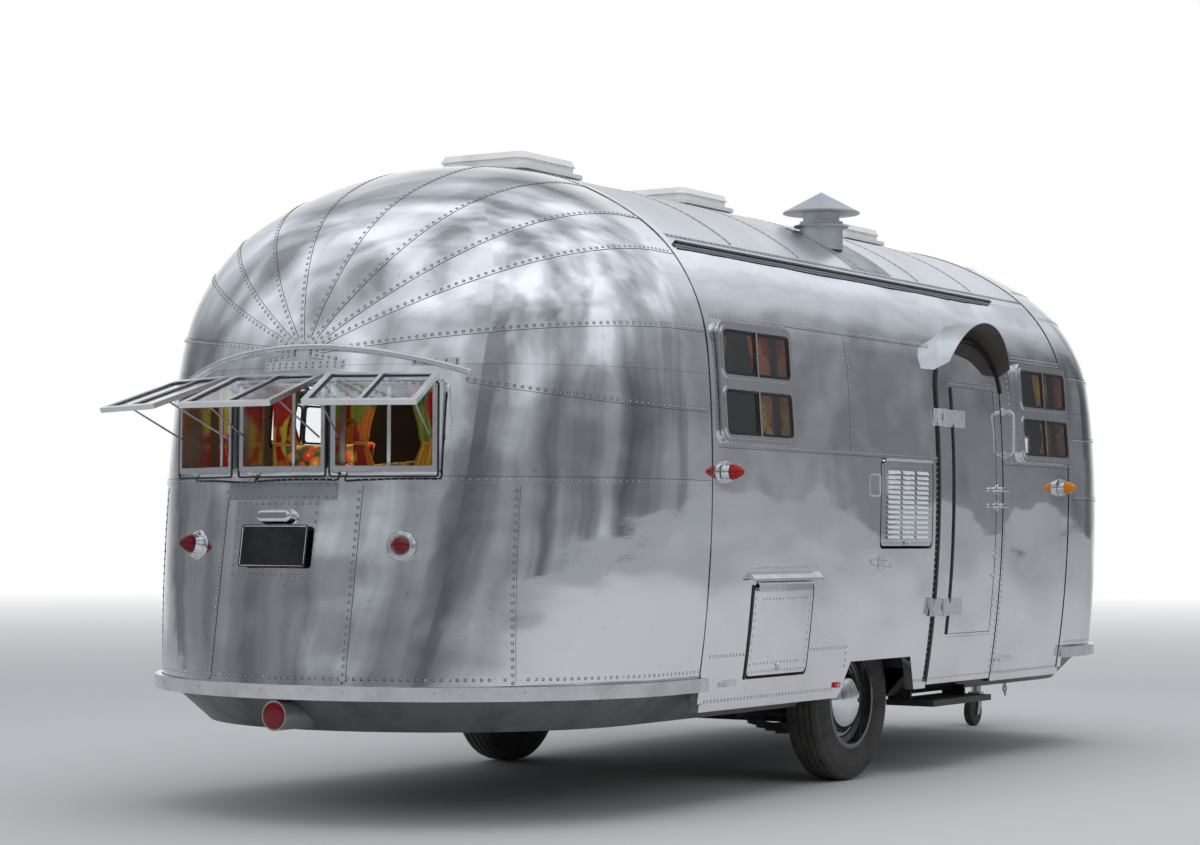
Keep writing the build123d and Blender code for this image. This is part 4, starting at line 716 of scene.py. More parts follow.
def hoopLine(x, floor=0.405, step=0.03, highest=None):
    # Points over the barrel from the door side to the far side.
    up = []
    z = floor
    while z < crownStart - 0.004:
        up.append(z)
        rise = (z - hull["widestZ"]) / hull["sideRadius"]
        z += step * (math.sqrt(1 - rise ** 2) if z < hull["shoulderStart"] else
                     math.cos(min(math.asin(min((z - shoulderZ) / hull["shoulderRadius"], 0.999)), 1.3)) + 0.04)
    count = int(2 * crownTurn * crownRadius / step)
    crown = []
    for i in range(count + 1):
        turn = crownTurn * (2 * i / count - 1)
        normal = Vector((0, math.sin(turn), math.cos(turn)))
        crown.append((Vector((x, 0, crownZ)) + normal * crownRadius, normal))
    return [sidePoint(x, z, -1) for z in up] + crown + [sidePoint(x, z, 1) for z in reversed(up)]


strips, rivets, laps = dressSides()
for x in (hull["rearHoop"], hull["frontHoop"]):
    layStrip(strips, hoopLine(x), 0.046, 0.0014)
    for away in (-0.023, 0.023):
        layLapShadow(laps, hoopLine(x), away)
    for shift in (-0.014, 0.014):
        plantRivets(rivets, evenly(hoopLine(x + shift), 0.027), lift=0.0014)
finishPiece(strips, "wallSeams", "seamMetal")
finishPiece(laps, "wallLaps", "lapShadow")
finishPiece(rivets, "wallRivets", rivetPair)

strips, rivets = bmesh.new(), bmesh.new()
roofRows = {"crossings": (0.58, 1.16, 1.74, 2.32, 2.90), "edgeHeight": 2.172, "step": 0.034}
for x in roofRows["crossings"]:
    line = [s for s in hoopLine(local(x)) if s[0].z > roofRows["edgeHeight"] + 0.01]
    layStrip(strips, line, 0.022, 0.0008)
    plantRivets(rivets, evenly(line, roofRows["step"]), 0.0034, 0.0008)
for side in (-1, 1):
    edge = sideLine(local(0.02), roofRows["edgeHeight"], local(3.47), roofRows["edgeHeight"], side, 0.06)
    plantRivets(rivets, evenly(edge, roofRows["step"]), 0.0034, 0.0008)
    layStrip(strips, edge, 0.018, 0.0008)
finishPiece(strips, "roofSeams", "greyTrim")
finishPiece(rivets, "roofRivets", ["greyTrim", "lapShadow"])
print("walls and roof riveted")


# End caps: belt, gores that meet at the pole, and upright seams below the belt
gores = {
    "poleZ": 1.680, "beltZ": 1.222, "step": 0.03,
    "hoopPoints": ((1.093, 1.500), (1.070, 1.800), (0.930, 2.100), (0.790, 2.250), (0.540, 2.395), (0.200, 2.465)),
    "uprights": (0.300, 0.800), "bottom": 0.512,
}


def windowZone(point):
    return abs(point.y) < 0.62 and 1.235 < point.z < 1.655


def capLine(end, centre, directions):
    return [capHit(end, centre, d) for d in directions]


def dressCap(end):
    strips, rivets, laps = bmesh.new(), bmesh.new(), bmesh.new()
    way = -1 if end == "rear" else 1
    hoop = hull[f"{end}Hoop"]
    lines = []
    for y, z in gores["hoopPoints"]:
        for s in (1, -1):
            reach = Vector((0, s * y, z - gores["poleZ"])).normalized()
            turns = [math.radians(t) for t in range(2, 89, 2)]
            lines.append((capLine(end, (hoop, 0, gores["poleZ"]),
                                  [Vector((way * math.cos(t), 0, 0)) + reach * math.sin(t) for t in turns]), True))
    spread = [math.radians(t) for t in range(-88, 89, 2)]
    belt = capLine(end, (hoop, 0, gores["beltZ"]), [Vector((way * math.cos(t), math.sin(t), 0)) for t in spread])
    lines.append((belt, True))
    for y in gores["uprights"]:
        for s in (1, -1):
            heights = [gores["bottom"] + i * 0.03 for i in range(24) if gores["bottom"] + i * 0.03 < 1.21]
            lines.append(([capHit(end, (hoop - way * 0.05, s * y, z), (way, 0, 0)) for z in heights], True))
    low = capLine(end, (hoop, 0, gores["bottom"] + 0.012),
                  [Vector((way * math.cos(t), math.sin(t), 0)) for t in spread])
    lines.append((low, False))
    for spots, strip in lines:
        for run in runs(spots, lambda p: not windowZone(p)):
            if strip:
                layStrip(strips, run, seam["width"], seam["thick"])
                layLapShadow(laps, run, seam["width"] / 2)
            plantRivets(rivets, evenly(run, 0.028), lift=seam["thick"] if strip else 0)
    finishPiece(strips, f"{end}CapSeams", "seamMetal")
    finishPiece(laps, f"{end}CapLaps", "lapShadow")
    finishPiece(rivets, f"{end}CapRivets", rivetPair)


dressCap("rear")
dressCap("front")
print("caps riveted")


# Riveted plates on the rear cap: backing patch, bare name strip, small plates over the windows
rearPlates = {
    "plateBacking": {"y": (-0.150, 0.236), "z": (0.872, 1.146), "thick": 0.0010, "finish": "seamMetal"},
    "bareStrip": {"y": (-0.215, 0.285), "z": (1.149, 1.212), "thick": 0.0035, "finish": "greyTrim"},
    "plateOverMiddle": {"y": (-0.190, 0.170), "z": (1.618, 1.652), "thick": 0.0012, "finish": "dullPlate"},
    "plateOverRight": {"y": (-0.600, -0.440), "z": (1.625, 1.655), "thick": 0.0012, "finish": "dullPlate"},
}


def makeCapPlate(name, plate):
    (y0, y1), (z0, z1) = plate["y"], plate["z"]
    mesh = bmesh.new()
    across = max(int((y1 - y0) / 0.03), 2)
    bmesh.ops.create_grid(mesh, x_segments=across, y_segments=3, size=0.5)
    normals = {}
    for vert in mesh.verts:
        y = y0 + (vert.co.x + 0.5) * (y1 - y0)
        z = z0 + (vert.co.y + 0.5) * (z1 - z0)
        place, normal = capHit("rear", (hull["rearHoop"], y, z), (-1, 0, 0))
        vert.co = place + normal * plate["thick"]
    bmesh.ops.recalc_face_normals(mesh, faces=mesh.faces[:])
    if sum(f.normal.x for f in mesh.faces) > 0:
        bmesh.ops.reverse_faces(mesh, faces=mesh.faces[:])
    bmesh.ops.solidify(mesh, geom=mesh.faces[:], thickness=plate["thick"] * 2)
    heads = bmesh.new()
    inset = 0.010
    corners = [(y0 + inset, z0 + inset), (y1 - inset, z0 + inset), (y1 - inset, z1 - inset), (y0 + inset, z1 - inset)]
    for (ya, za), (yb, zb) in zip(corners, corners[1:] + corners[:1]):
        count = max(int(math.hypot(yb - ya, zb - za) / 0.030), 1)
        spots = []
        for i in range(count):
            found = capHit("rear", (hull["rearHoop"], ya + (yb - ya) * i / count, za + (zb - za) * i / count),
                           (-1, 0, 0))
            if found:
                spots.append((found[0] + found[1] * plate["thick"], found[1]))
        plantRivets(heads, spots, 0.0031)
    finishPiece(mesh, name, plate["finish"])
    finishPiece(heads, name + "Rivets", rivetPair)


for name, plate in rearPlates.items():
    makeCapPlate(name, plate)


# Rubber seals round the door and hatch
def sealAlong(total, path, side, width, thick, *names):
    # Rubber of square section laid on the wall along (x, z) points.
    spots = []
    for (xa, za), (xb, zb) in zip(path, path[1:]):
        count = max(int(math.hypot(xb - xa, zb - za) / 0.03), 1)
        for i in range(count):
            spots.append((xa + (xb - xa) * i / count, za + (zb - za) * i / count))
    spots.append(path[-1])
    line = [sidePoint(local(x), z, side) for x, z in spots]
    layStrip(total, line, width, thick)


def arcPath(x, z, radius, start, end, steps=10):
    return [(x + radius * math.cos(math.radians(start + (end - start) * i / steps)),
             z + radius * math.sin(math.radians(start + (end - start) * i / steps))) for i in range(steps + 1)]


doorSeal = {"offset": 0.021, "width": 0.019, "thick": 0.007}


def makeDoorSeals():
    mesh = bmesh.new()
    off, r = doorSeal["offset"], 0.25
    left, right, top = 1.998 - off, 2.670 + off, 1.900 + off
    path = ([(left, 0.40), (left, 1.65)] + arcPath(1.998 + r, 1.65, r + off, 180, 90)
            + arcPath(2.670 - r, 1.65, r + off, 90, 8))
    sealAlong(mesh, path, -1, doorSeal["width"], doorSeal["thick"])
    sealAlong(mesh, [(0.3265, 0.842), (0.3245, 0.60), (0.3225, 0.480)], -1, 0.013, 0.004)
    finishPiece(mesh, "doorSeal", "sealRubber")
    mesh = bmesh.new()
    sealAlong(mesh, [(2.137, 0.600), (2.137, 1.690)], -1, 0.015, 0.0045)
    finishPiece(mesh, "doorPanelSeal", "sealRubber", "door")
    mesh, heads = bmesh.new(), bmesh.new()
    sealAlong(mesh, [(2.122, 1.706), (2.618, 1.706)], -1, 0.024, 0.004)
    finishPiece(mesh, "doorPanelRail", "brightTrim", "door")
    rail = sideLine(local(2.130), 1.706, local(2.610), 1.706, -1, 0.03)
    plantRivets(heads, [(p + n * 0.004, n) for p, n in evenly(rail, 0.034)])
    for x0, z0, x1, z1 in ((2.155, 0.588, 2.610, 0.588), (2.619, 0.60, 2.619, 1.69), (2.150, 1.722, 2.600, 1.722),
                           (2.655, 0.41, 2.655, 1.12), (2.02, 0.41, 2.64, 0.41)):
        plantRivets(heads, evenly(sideLine(local(x0), z0, local(x1), z1, -1, 0.03), 0.030), 0.0029)
    finishPiece(heads, "doorRivets", rivetPair, "door")


makeDoorSeals()


# Lids: rivet borders, hatch lock, panel knob
lids = {
    "hatch": {"x": (0.333, 0.827), "z": (0.486, 0.838), "rows": (0.020, 0.052), "step": 0.026},
    "vent_panel": {"x": (1.410, 1.914), "z": (0.986, 1.344), "rows": (0.016,), "step": 0.027},
}


def dressLid(node, lid):
    heads = bmesh.new()
    for k, inset in enumerate(lid["rows"]):
        x0, x1 = lid["x"][0] + inset, lid["x"][1] - inset
        z0, z1 = lid["z"][0] + inset, lid["z"][1] - inset
        sides = [(x0, z0, x1, z0), (x1, z1, x0, z1)]
        if k == 0:
            sides += [(x1, z0, x1, z1), (x0, z1, x0, z0)]
        for xa, za, xb, zb in sides:
            count = int(math.hypot(xb - xa, zb - za) / lid["step"])
            spots = [strike(local(xa + (xb - xa) * i / count), za + (zb - za) * i / count, -1, node)
                     for i in range(count)]
            plantRivets(heads, [s for s in spots if s], 0.0029)
    finishPiece(heads, node.replace("_p", "P") + "Rivets", rivetPair, node)


for node, lid in lids.items():
    dressLid(node, lid)


louvres = {"columns": 3, "rows": 14, "pitchX": 0.140, "pitchZ": 0.021, "length": 0.116, "x": 1.662, "z": 1.165,
           "low": -0.0070, "high": 0.0058, "lift": 0.0006}


def makeLouvreReflections():
    # Pale face on each pressed louvre: a painted reflection, a pale non-metal finish standing in for the bright sky
    # that the tilted aluminium faces mirror.
    mesh = bmesh.new()
    low, high, length = louvres["low"], louvres["high"], louvres["length"]
    for column in range(louvres["columns"]):
        x = louvres["x"] + (column - (louvres["columns"] - 1) / 2) * louvres["pitchX"] - length / 2
        for row in range(louvres["rows"]):
            z = louvres["z"] + (row - (louvres["rows"] - 1) / 2) * louvres["pitchZ"]
            corners = [strike(local(x + dx), z + dz, -1, "vent_panel")
                       for dx, dz in ((0, low), (length, low), (length, high), (0, high))]
            if all(corners):
                mesh.faces.new([mesh.verts.new(c[0] + Vector((0, -louvres["lift"], 0))) for c in corners])
    print("louvre faces", len(mesh.faces))
    finishPiece(mesh, "louvreReflectionFaces", "louvreSheet", "vent_panel", 0)


makeLouvreReflections()


def turned(profile, place, normal, segments=32):
    # A turned part from radius and height pairs, standing on a place along its normal.
    mesh = bmesh.new()
    verts = [mesh.verts.new((r, 0, h)) for r, h in profile]
    edges = [mesh.edges.new((a, b)) for a, b in zip(verts, verts[1:])]
    bmesh.ops.spin(mesh, geom=verts + edges, cent=(0, 0, 0), axis=(0, 0, 1), angle=2 * math.pi, steps=segments,
                   use_merge=True)
    bmesh.ops.remove_doubles(mesh, verts=mesh.verts[:], dist=1e-5)
    bmesh.ops.holes_fill(mesh, edges=[e for e in mesh.edges if e.is_boundary], sides=0)
    bmesh.ops.recalc_face_normals(mesh, faces=mesh.faces[:])
    bmesh.ops.transform(mesh, verts=mesh.verts[:], matrix=facing(place, normal))
    return mesh


smallTurned = {
    "hatchLock": {"at": (0.585, 0.522), "on": "hatch", "body": "hatch", "finish": "chrome",
                  "profile": ((0, 0.012), (0.006, 0.012), (0.0065, 0.009), (0.013, 0.0085), (0.0165, 0.004),
                              (0.0175, -0.002), (0, -0.002))},
    "panelKnob": {"at": (1.662, 1.000), "on": "vent_panel", "body": "vent_panel", "finish": "chrome",
                  "profile": ((0, 0.020), (0.007, 0.019), (0.010, 0.014), (0.008, 0.009), (0.0045, 0.007),
                              (0.0045, -0.002), (0, -0.002))},
    "doorBoltUpper": {"at": (2.585, 0.948), "on": "door", "body": "door", "finish": "chrome",
                      "profile": ((0, 0.011), (0.007, 0.010), (0.0095, 0.005), (0.0095, 0.001), (0.014, 0.001),
                                  (0.014, -0.002), (0, -0.002))},
    "doorBoltLower": {"at": (2.585, 0.857), "on": "door", "body": "door", "finish": "chrome",
                      "profile": ((0, 0.011), (0.007, 0.010), (0.0095, 0.005), (0.0095, 0.001), (0.014, 0.001),
                                  (0.014, -0.002), (0, -0.002))},
}
for name, part in smallTurned.items():
    place, normal = strike(local(part["at"][0]), part["at"][1], -1, part["on"])
    finishPiece(turned(part["profile"], place, normal), name, part["finish"], part["body"])


# Screws on hinge leaves and along the rub rails
screw = {"radius": 0.0058, "height": 0.003, "sides": 10}


def plantScrews(total, spots):
    for place, normal in spots:
        made = bmesh.ops.create_cone(total, cap_ends=True, segments=screw["sides"], radius1=screw["radius"],
                                     radius2=screw["radius"] * 0.62, depth=screw["height"])
        bmesh.ops.transform(total, verts=made["verts"], matrix=facing(place + normal * screw["height"] / 2, normal))


def makeScrews():
    doorScrews, wallScrews, railScrews = bmesh.new(), bmesh.new(), bmesh.new()
    for z in (0.722, 1.551):
        for dx, dz in ((0.045, 0.024), (0.045, -0.024), (0.130, 0.024), (0.130, -0.024), (0.215, 0.0)):
            found = strike(local(1.998 + dx), z + dz, -1, "door_hinges")
            if found:
                plantScrews(doorScrews, [found])
        for dz in (0.024, -0.024):
            found = strike(local(1.998 - 0.044), z + dz, -1, "wall_fittings")
            if found:
                plantScrews(wallScrews, [found])
    tree = Trees.get("rub_rails")
    for hoop, way in ((hull["rearHoop"], -1), (hull["frontHoop"], 1)):
        for i in range(-6, 7):
            t = math.radians(i * 14.5)
            heading = Vector((way * math.cos(t), math.sin(t), 0))
            start = Vector((hoop, 0, 0.481))
            place, normal, _, _ = tree.ray_cast(start + heading * 2.5, -heading)
            if place:
                plantScrews(railScrews, [(place, normal if normal.dot(heading) > 0 else -normal)])
    finishPiece(doorScrews, "hingeScrewsDoor", "darkChrome", "door")
    finishPiece(wallScrews, "hingeScrewsWall", "darkChrome")
    finishPiece(railScrews, "rubRailScrews", "darkChrome")


makeScrews()
print("door side dressed")


# Tyres: rounded shoulders, four tread grooves and side ribs, spun about the axle
tyre = {"x": 1.510, "y": 0.842, "z": 0.338, "radius": 0.338, "width": 0.172, "bead": 0.196}


def tyreFinish(name):
    # Dusty rubber with cross cuts round the tread and fine ribs on the wall.
    f = Finish(name)
    x, y, z = f.parts(f.place)
    across, up = x - local(tyre["x"]), z - tyre["z"]
    reach = (across * across + up * up) ** 0.5
    turn = f.node("ShaderNodeMath", {"operation": "ARCTAN2"}, {0: up, 1: across})
    tread = reach > tyre["radius"] - 0.022
    cuts = f.spread((turn * 74.0 + y * 55.0).sine(), 0.0, 1.0, -0.75, -0.45)
    ribs = (reach * 1100.0).sine() * (reach < tyre["radius"] - 0.030)
    dirt = f.spread(f.noise(11.0, 5.0, 0.65), 0.0, 1.0, 0.38, 0.75)
    grain = f.noise(240.0, 2.0, 0.6)
    tint = f.blend(dirt * 0.45 + tread * 0.22, (0.022, 0.022, 0.023), (0.155, 0.140, 0.120))
    surface = f.bump(cuts, 0.0035, 1.0)
    surface = f.bump(ribs * (1 - tread), 0.0006, 0.6, surface)
    surface = f.bump(grain, 0.0004, 0.4, surface)
    f.give(baseColor=tint, roughness=0.58 + dirt * 0.25, normal=surface)
    return f.material


finishes["roadTyre"] = tyreFinish("roadTyre")


def tyreProfile():
    half, r = tyre["width"] / 2, tyre["radius"]
    grooves = [-0.042, -0.015, 0.015, 0.042]
    points = [(-half * 0.70, tyre["bead"]), (-half * 0.84, tyre["bead"] + 0.010), (-half * 0.96, r - 0.110),
              (-half, r - 0.078), (-half * 0.995, r - 0.062), (-half * 1.0, r - 0.059), (-half * 0.985, r - 0.052),
              (-half * 0.95, r - 0.036), (-half * 0.87, r - 0.018), (-half * 0.76, r - 0.008)]
    for y in grooves:
        points += [(y - 0.0042, r - 0.0004 - y * y * 1.2), (y - 0.0026, r - 0.0085), (y + 0.0026, r - 0.0085),
                   (y + 0.0042, r - 0.0004 - y * y * 1.2)]
    points += [(-y, z) for y, z in reversed(points[:10])]
    points += [(half * 0.66, tyre["bead"] + 0.012), (-half * 0.66, tyre["bead"] + 0.012)]
    return points


def makeTyre(name, side):
    mesh = bmesh.new()
    verts = [mesh.verts.new((0, y, z)) for y, z in tyreProfile()]
    edges = [mesh.edges.new((a, b)) for a, b in zip(verts, verts[1:] + verts[:1])]
    bmesh.ops.spin(mesh, geom=verts + edges, cent=(0, 0, 0), axis=(0, 1, 0), angle=2 * math.pi, steps=112,
                   use_merge=True)
    bmesh.ops.remove_doubles(mesh, verts=mesh.verts[:], dist=1e-5)
    bmesh.ops.recalc_face_normals(mesh, faces=mesh.faces[:])
    bmesh.ops.translate(mesh, verts=mesh.verts[:], vec=(local(tyre["x"]), side * tyre["y"], tyre["z"]))
    piece = finishPiece(mesh, name, "roadTyre", "wheel_left" if side > 0 else "wheel_right", 38)
    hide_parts("tyre_left" if side > 0 else "tyre_right")


makeTyre("tyreLeft", 1)
makeTyre("tyreRight", -1)
print("tyres made")


# Lamps: ribbed lenses turned on the caps and the walls
lenses = {
    "tail": {"y": 0.466, "z": 0.988, "out": 0.0254,
             "profile": [(0.0335, 0.0), (0.0335, 0.003), (0.0322, 0.005), (0.0328, 0.008), (0.0315, 0.011),
                         (0.0306, 0.0135), (0.0280, 0.0185), (0.0272, 0.0200), (0.0246, 0.0255), (0.0240, 0.0270),
                         (0.0206, 0.0325), (0.0198, 0.0338), (0.0150, 0.0395), (0.0115, 0.0425), (0.0060, 0.0445),
                         (0.0, 0.0450)]},
    "marker": {"z": 1.268, "out": 0.0324,
               "profile": [(0.0295, 0.0), (0.0295, 0.003), (0.0280, 0.005), (0.0288, 0.009), (0.0272, 0.012),
                           (0.0276, 0.016), (0.0252, 0.0195), (0.0240, 0.0225), (0.0212, 0.0290), (0.0204, 0.0305),
                           (0.0165, 0.0375), (0.0155, 0.0390), (0.0110, 0.0455), (0.0060, 0.0490), (0.0, 0.0500)]},
    "tube": {"profile": [(0.016, 0.0014), (0.032, 0.0010), (0.0445, 0.0), (0.0468, -0.001), (0.0468, -0.003)]},
}


def makeLens(name, place, normal, profile, finish, node):
    base = [(0, profile[0][1])] if profile[0][0] > profile[-1][0] else [(0, profile[0][1] + 0.0002)]
    foot = [] if profile[-1][0] == 0 else [(0, profile[-1][1])]
    piece = finishPiece(turned(base + profile + foot, place, normal, 40), name, finish, "body", 50)
    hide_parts(node)


def capNormal(y, z):
    a, b = (capHit("rear", (hull["rearHoop"], y + d, z), (-1, 0, 0))[0] for d in (0.02, -0.02))
    c, d = (capHit("rear", (hull["rearHoop"], y, z + d), (-1, 0, 0))[0] for d in (0.02, -0.02))
    n = (a - b).cross(c - d).normalized()
    return n if n.x < 0 else -n


def makeLenses():
    for s, word in ((1, "Left"), (-1, "Right")):
        spec = lenses["tail"]
        place = capHit("rear", (hull["rearHoop"], s * spec["y"], spec["z"]), (-1, 0, 0))[0]
        normal = capNormal(s * spec["y"], spec["z"])
        makeLens(f"tailLens{word}", place + normal * spec["out"], normal, spec["profile"], "redLens",
                 "tail_lamp_lenses")
        spec = lenses["marker"]
        for end, x, finish in (("Rear", 0.072, "markerRed"), ("Front", 3.490 - 0.134, "amberLens")):
            place, normal = sidePoint(local(x), spec["z"], s)
            makeLens(f"markerLens{end}{word}", place + normal * spec["out"], normal, spec["profile"], finish,
                     "marker_lenses")
    low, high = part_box("carrier_tube")
    middle = Vector((low[0] - 0.0002, (low[1] + high[1]) / 2, (low[2] + high[2]) / 2))
    makeLens("tubeReflector", middle, Vector((-1, 0, 0)), lenses["tube"]["profile"], "redLens", "tail_lamp_lenses")


makeLenses()
print("lenses made")


# Curtains: gathered cotton, tied at the waist, hanging from their rods
drape = {"folds": 6, "fullness": 1.32, "deepest": 0.0058, "rows": 26, "columns": 66, "thick": 0.0007,
         "band": 0.013}


def tieFinish(name):
    f = Finish(name)
    ribs = f.noise(160.0, 2.0, 0.6, (0.2, 0.2, 1))
    f.give(baseColor=f.blend(ribs, (0.50, 0.20, 0.03), (0.72, 0.36, 0.05)), roughness=0.8,
           normal=f.bump(ribs, 0.0008, 0.5))
    return f.material


finishes["tieCotton"] = tieFinish("tieCotton")


def islandsOf(node):
    # The separate solids of a node, each as its corner points.
    mesh = bmesh.new()
    mesh.from_mesh(nodes[node].data)
    bmesh.ops.remove_doubles(mesh, verts=mesh.verts[:], dist=1e-5)
    left, out = set(mesh.verts), []
    while left:
        stack = [left.pop()]
        solid = []
        while stack:
            vert = stack.pop()
            solid.append(vert)
            for edge in vert.link_edges:
                other = edge.other_vert(vert)
                if other in left:
                    left.remove(other)
                    stack.append(other)
        faces = {face for vert in solid for face in vert.link_faces}
        broad = max(faces, key=lambda face: face.calc_area()).normal.copy()
        out.append(([vert.co.copy() for vert in solid], broad))
    mesh.free()
    out.sort(key=lambda item: tuple(round(v, 3) for v in sum(item[0], Vector()) / len(item[0])))
    return out


def eased(t, pairs):
    # Smooth curve through height and value pairs.
    for (a, va), (b, vb) in zip(pairs, pairs[1:]):
        if t <= b:
            k = min(max((t - a) / max(b - a, 1e-6), 0), 1)
            return va + (vb - va) * k * k * (3 - 2 * k)
    return pairs[-1][1]


def makeCurtain(index, corners, broad):
    middle = sum(corners, Vector()) / len(corners)
    outward = broad if broad.dot(middle - Vector((min(max(middle.x, hull["rearHoop"]), hull["frontHoop"]),
                                                  0, middle.z))) > 0 else -broad
    across = Vector((0, 0, 1)).cross(outward).normalized()
    up = outward.cross(across)
    flat = sorted({(round((p - middle).dot(up), 4), round((p - middle).dot(across), 4)) for p in corners})
    foot, top = flat[0][0], flat[-1][0]
    footEdge = [u for v, u in flat if v < foot + 0.002]
    topEdge = [u for v, u in flat if v > top - 0.002]
    waist = [(v, u) for v, u in flat if foot + 0.002 <= v <= top - 0.002]
    straight = footEdge[0] if abs(footEdge[0] - topEdge[0]) < 0.001 else footEdge[-1]
    straight = min(footEdge + topEdge, key=lambda u: abs(u - min(topEdge))) if any(
        abs(u - min(topEdge)) < 0.001 for u in footEdge) else max(topEdge)
    inner = lambda edge: max(edge, key=lambda u: abs(u - straight))
    pairs = [(foot, inner(footEdge))] + waist + [(top, inner(topEdge))]
    length = top - foot
    fullWidth = abs(inner(topEdge) - straight) * drape["fullness"]
    mesh = bmesh.new()
    bmesh.ops.create_grid(mesh, x_segments=drape["columns"], y_segments=drape["rows"], size=0.5)
    uv = mesh.loops.layers.uv.new("cloth")
    seed = index * 1.7
    turns = max(int(round(drape["folds"] * fullWidth / 0.21)), 4)
    where = {}
    for vert in mesh.verts:
        s, t = vert.co.x + 0.5, vert.co.y + 0.5
        v = foot + t * length
        edge = eased(v, pairs)
        width = abs(edge - straight)
        slope = 2 * math.sqrt(max((fullWidth / width) ** 2 - 1, 0.05)) * 0.72
        depth = min(slope * width / (2 * math.pi * turns), drape["deepest"])
        bend = s + 0.035 * math.sin(2 * math.pi * 1.5 * s + seed) * math.sin(math.pi * s)
        wave = math.sin(2 * math.pi * turns * bend + seed + 0.5 * math.sin(2.2 * t + seed))
        wave = 0.86 * wave + 0.14 * math.sin(2 * math.pi * turns * 2.3 * s + seed * 2)
        gap = (edge - straight) * s
        where[vert.index] = (s * fullWidth + index * 0.37, t * length + index * 0.21)
        vert.co = middle + across * (straight + gap) + up * v + outward * (depth * wave)
    mesh.verts.index_update()
    for face in mesh.faces:
        for loop in face.loops:
            loop[uv].uv = where[loop.vert.index]
    area = sum(face.calc_area() for face in mesh.faces)
    bmesh.ops.recalc_face_normals(mesh, faces=mesh.faces[:])
    bmesh.ops.solidify(mesh, geom=mesh.faces[:], thickness=drape["thick"])
    piece = finishPiece(mesh, f"curtain{index + 1}", "printedCotton", "body", 80)
    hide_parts("curtains")
    # Band round the waist
    band = bmesh.new()
    at = waist[0][0] if waist else foot + 0.35 * length
    edge = eased(at, pairs)
    wide = abs(edge - straight)
    made = bmesh.ops.create_circle(band, cap_ends=False, segments=28, radius=1.0)
    bmesh.ops.scale(band, verts=made["verts"], vec=(wide / 2 + 0.001, drape["deepest"] + 0.0012, 1))
    grown = bmesh.ops.extrude_edge_only(band, edges=band.edges[:])
    bmesh.ops.translate(band, verts=[g for g in grown["geom"] if isinstance(g, bmesh.types.BMVert)],
                        vec=(0, 0, drape["band"]))
    bmesh.ops.recalc_face_normals(band, faces=band.faces[:])
    bmesh.ops.solidify(band, geom=band.faces[:], thickness=0.0009)
    turn = Matrix((across, outward, up)).transposed().to_4x4()
    centre = middle + across * (straight + edge) / 2 + up * (at - drape["band"] / 2)
    bmesh.ops.transform(band, verts=band.verts[:], matrix=Matrix.Translation(centre) @ turn)
    tie = finishPiece(band, f"curtainTie{index + 1}", "tieCotton")
    area / length
    return middle + across * straight, outward, up, area / length, length


hung = [makeCurtain(i, corners, broad) for i, (corners, broad) in enumerate(islandsOf("curtains"))]
print("curtains hung", len(hung), sorted({(round(w, 3), round(h, 3)) for _, _, _, w, h in hung}))


# Upright bars in the middle of the rear window openings
mullion = {"width": 0.015, "depth": 0.009, "height": 0.300, "out": 0.072}


def makeMullions():
    rear = [h for h in hung if h[0].x < hull["rearHoop"] - 0.5]
    mesh = bmesh.new()
    for i, (edge, outward, up, _, _) in enumerate(rear):
        for other, outwardToo, _, _, _ in rear[i + 1:]:
            if (other - edge).length < 0.42 and outward.dot(outwardToo) > 0.995:
                middle = (edge + other) / 2 + outward * mullion["out"]
                bar = bmesh.ops.create_cube(mesh, size=1.0)
                bmesh.ops.scale(mesh, verts=bar["verts"], vec=(mullion["width"], mullion["depth"], mullion["height"]))
                edges = list({e for v in bar["verts"] for e in v.link_edges})
                cut = bmesh.ops.bevel(mesh, geom=edges, offset=0.0028, affect="EDGES", segments=3, profile=0.5,
                                      material=-1)
                across = up.cross(outward)
                turn = Matrix((across, outward, up)).transposed().to_4x4()
                bmesh.ops.transform(mesh, verts=list({v for f in cut["faces"] for v in f.verts} | {
                    v for v in bar["verts"] if v.is_valid}), matrix=Matrix.Translation(middle) @ turn)
    finishPiece(mesh, "windowMullions", "brightTrim")


makeMullions()


# Rubber round the panes and round the window frames
rubbers = {
    "side_window_glass": {"inset": 0.002, "width": 0.009, "thick": 0.0030, "round": 0.020, "both": False},
    "rear_sash_glass": {"inset": 0.001, "width": 0.005, "thick": 0.0020, "round": 0.006, "both": True},
    "front_sash_glass": {"inset": 0.001, "width": 0.005, "thick": 0.0020, "round": 0.006, "both": True},
}


def ringPath(half, tall, radius):
    # A closed rounded rectangle round the middle.
    out = []
    for sx, sy, start in ((1, 1, 0), (-1, 1, 90), (-1, -1, 180), (1, -1, 270)):
        for i in range(5):
            turn = math.radians(start + 22.5 * i)
            out.append((sx * (half - radius) + radius * math.cos(turn), sy * (tall - radius) + radius * math.sin(turn)))
    dense = []
    for (xa, ya), (xb, yb) in zip(out, out[1:] + out[:1]):
        count = max(int(math.hypot(xb - xa, yb - ya) / 0.04), 1)
        dense += [(xa + (xb - xa) * i / count, ya + (yb - ya) * i / count) for i in range(count)]
    return dense + dense[:1]


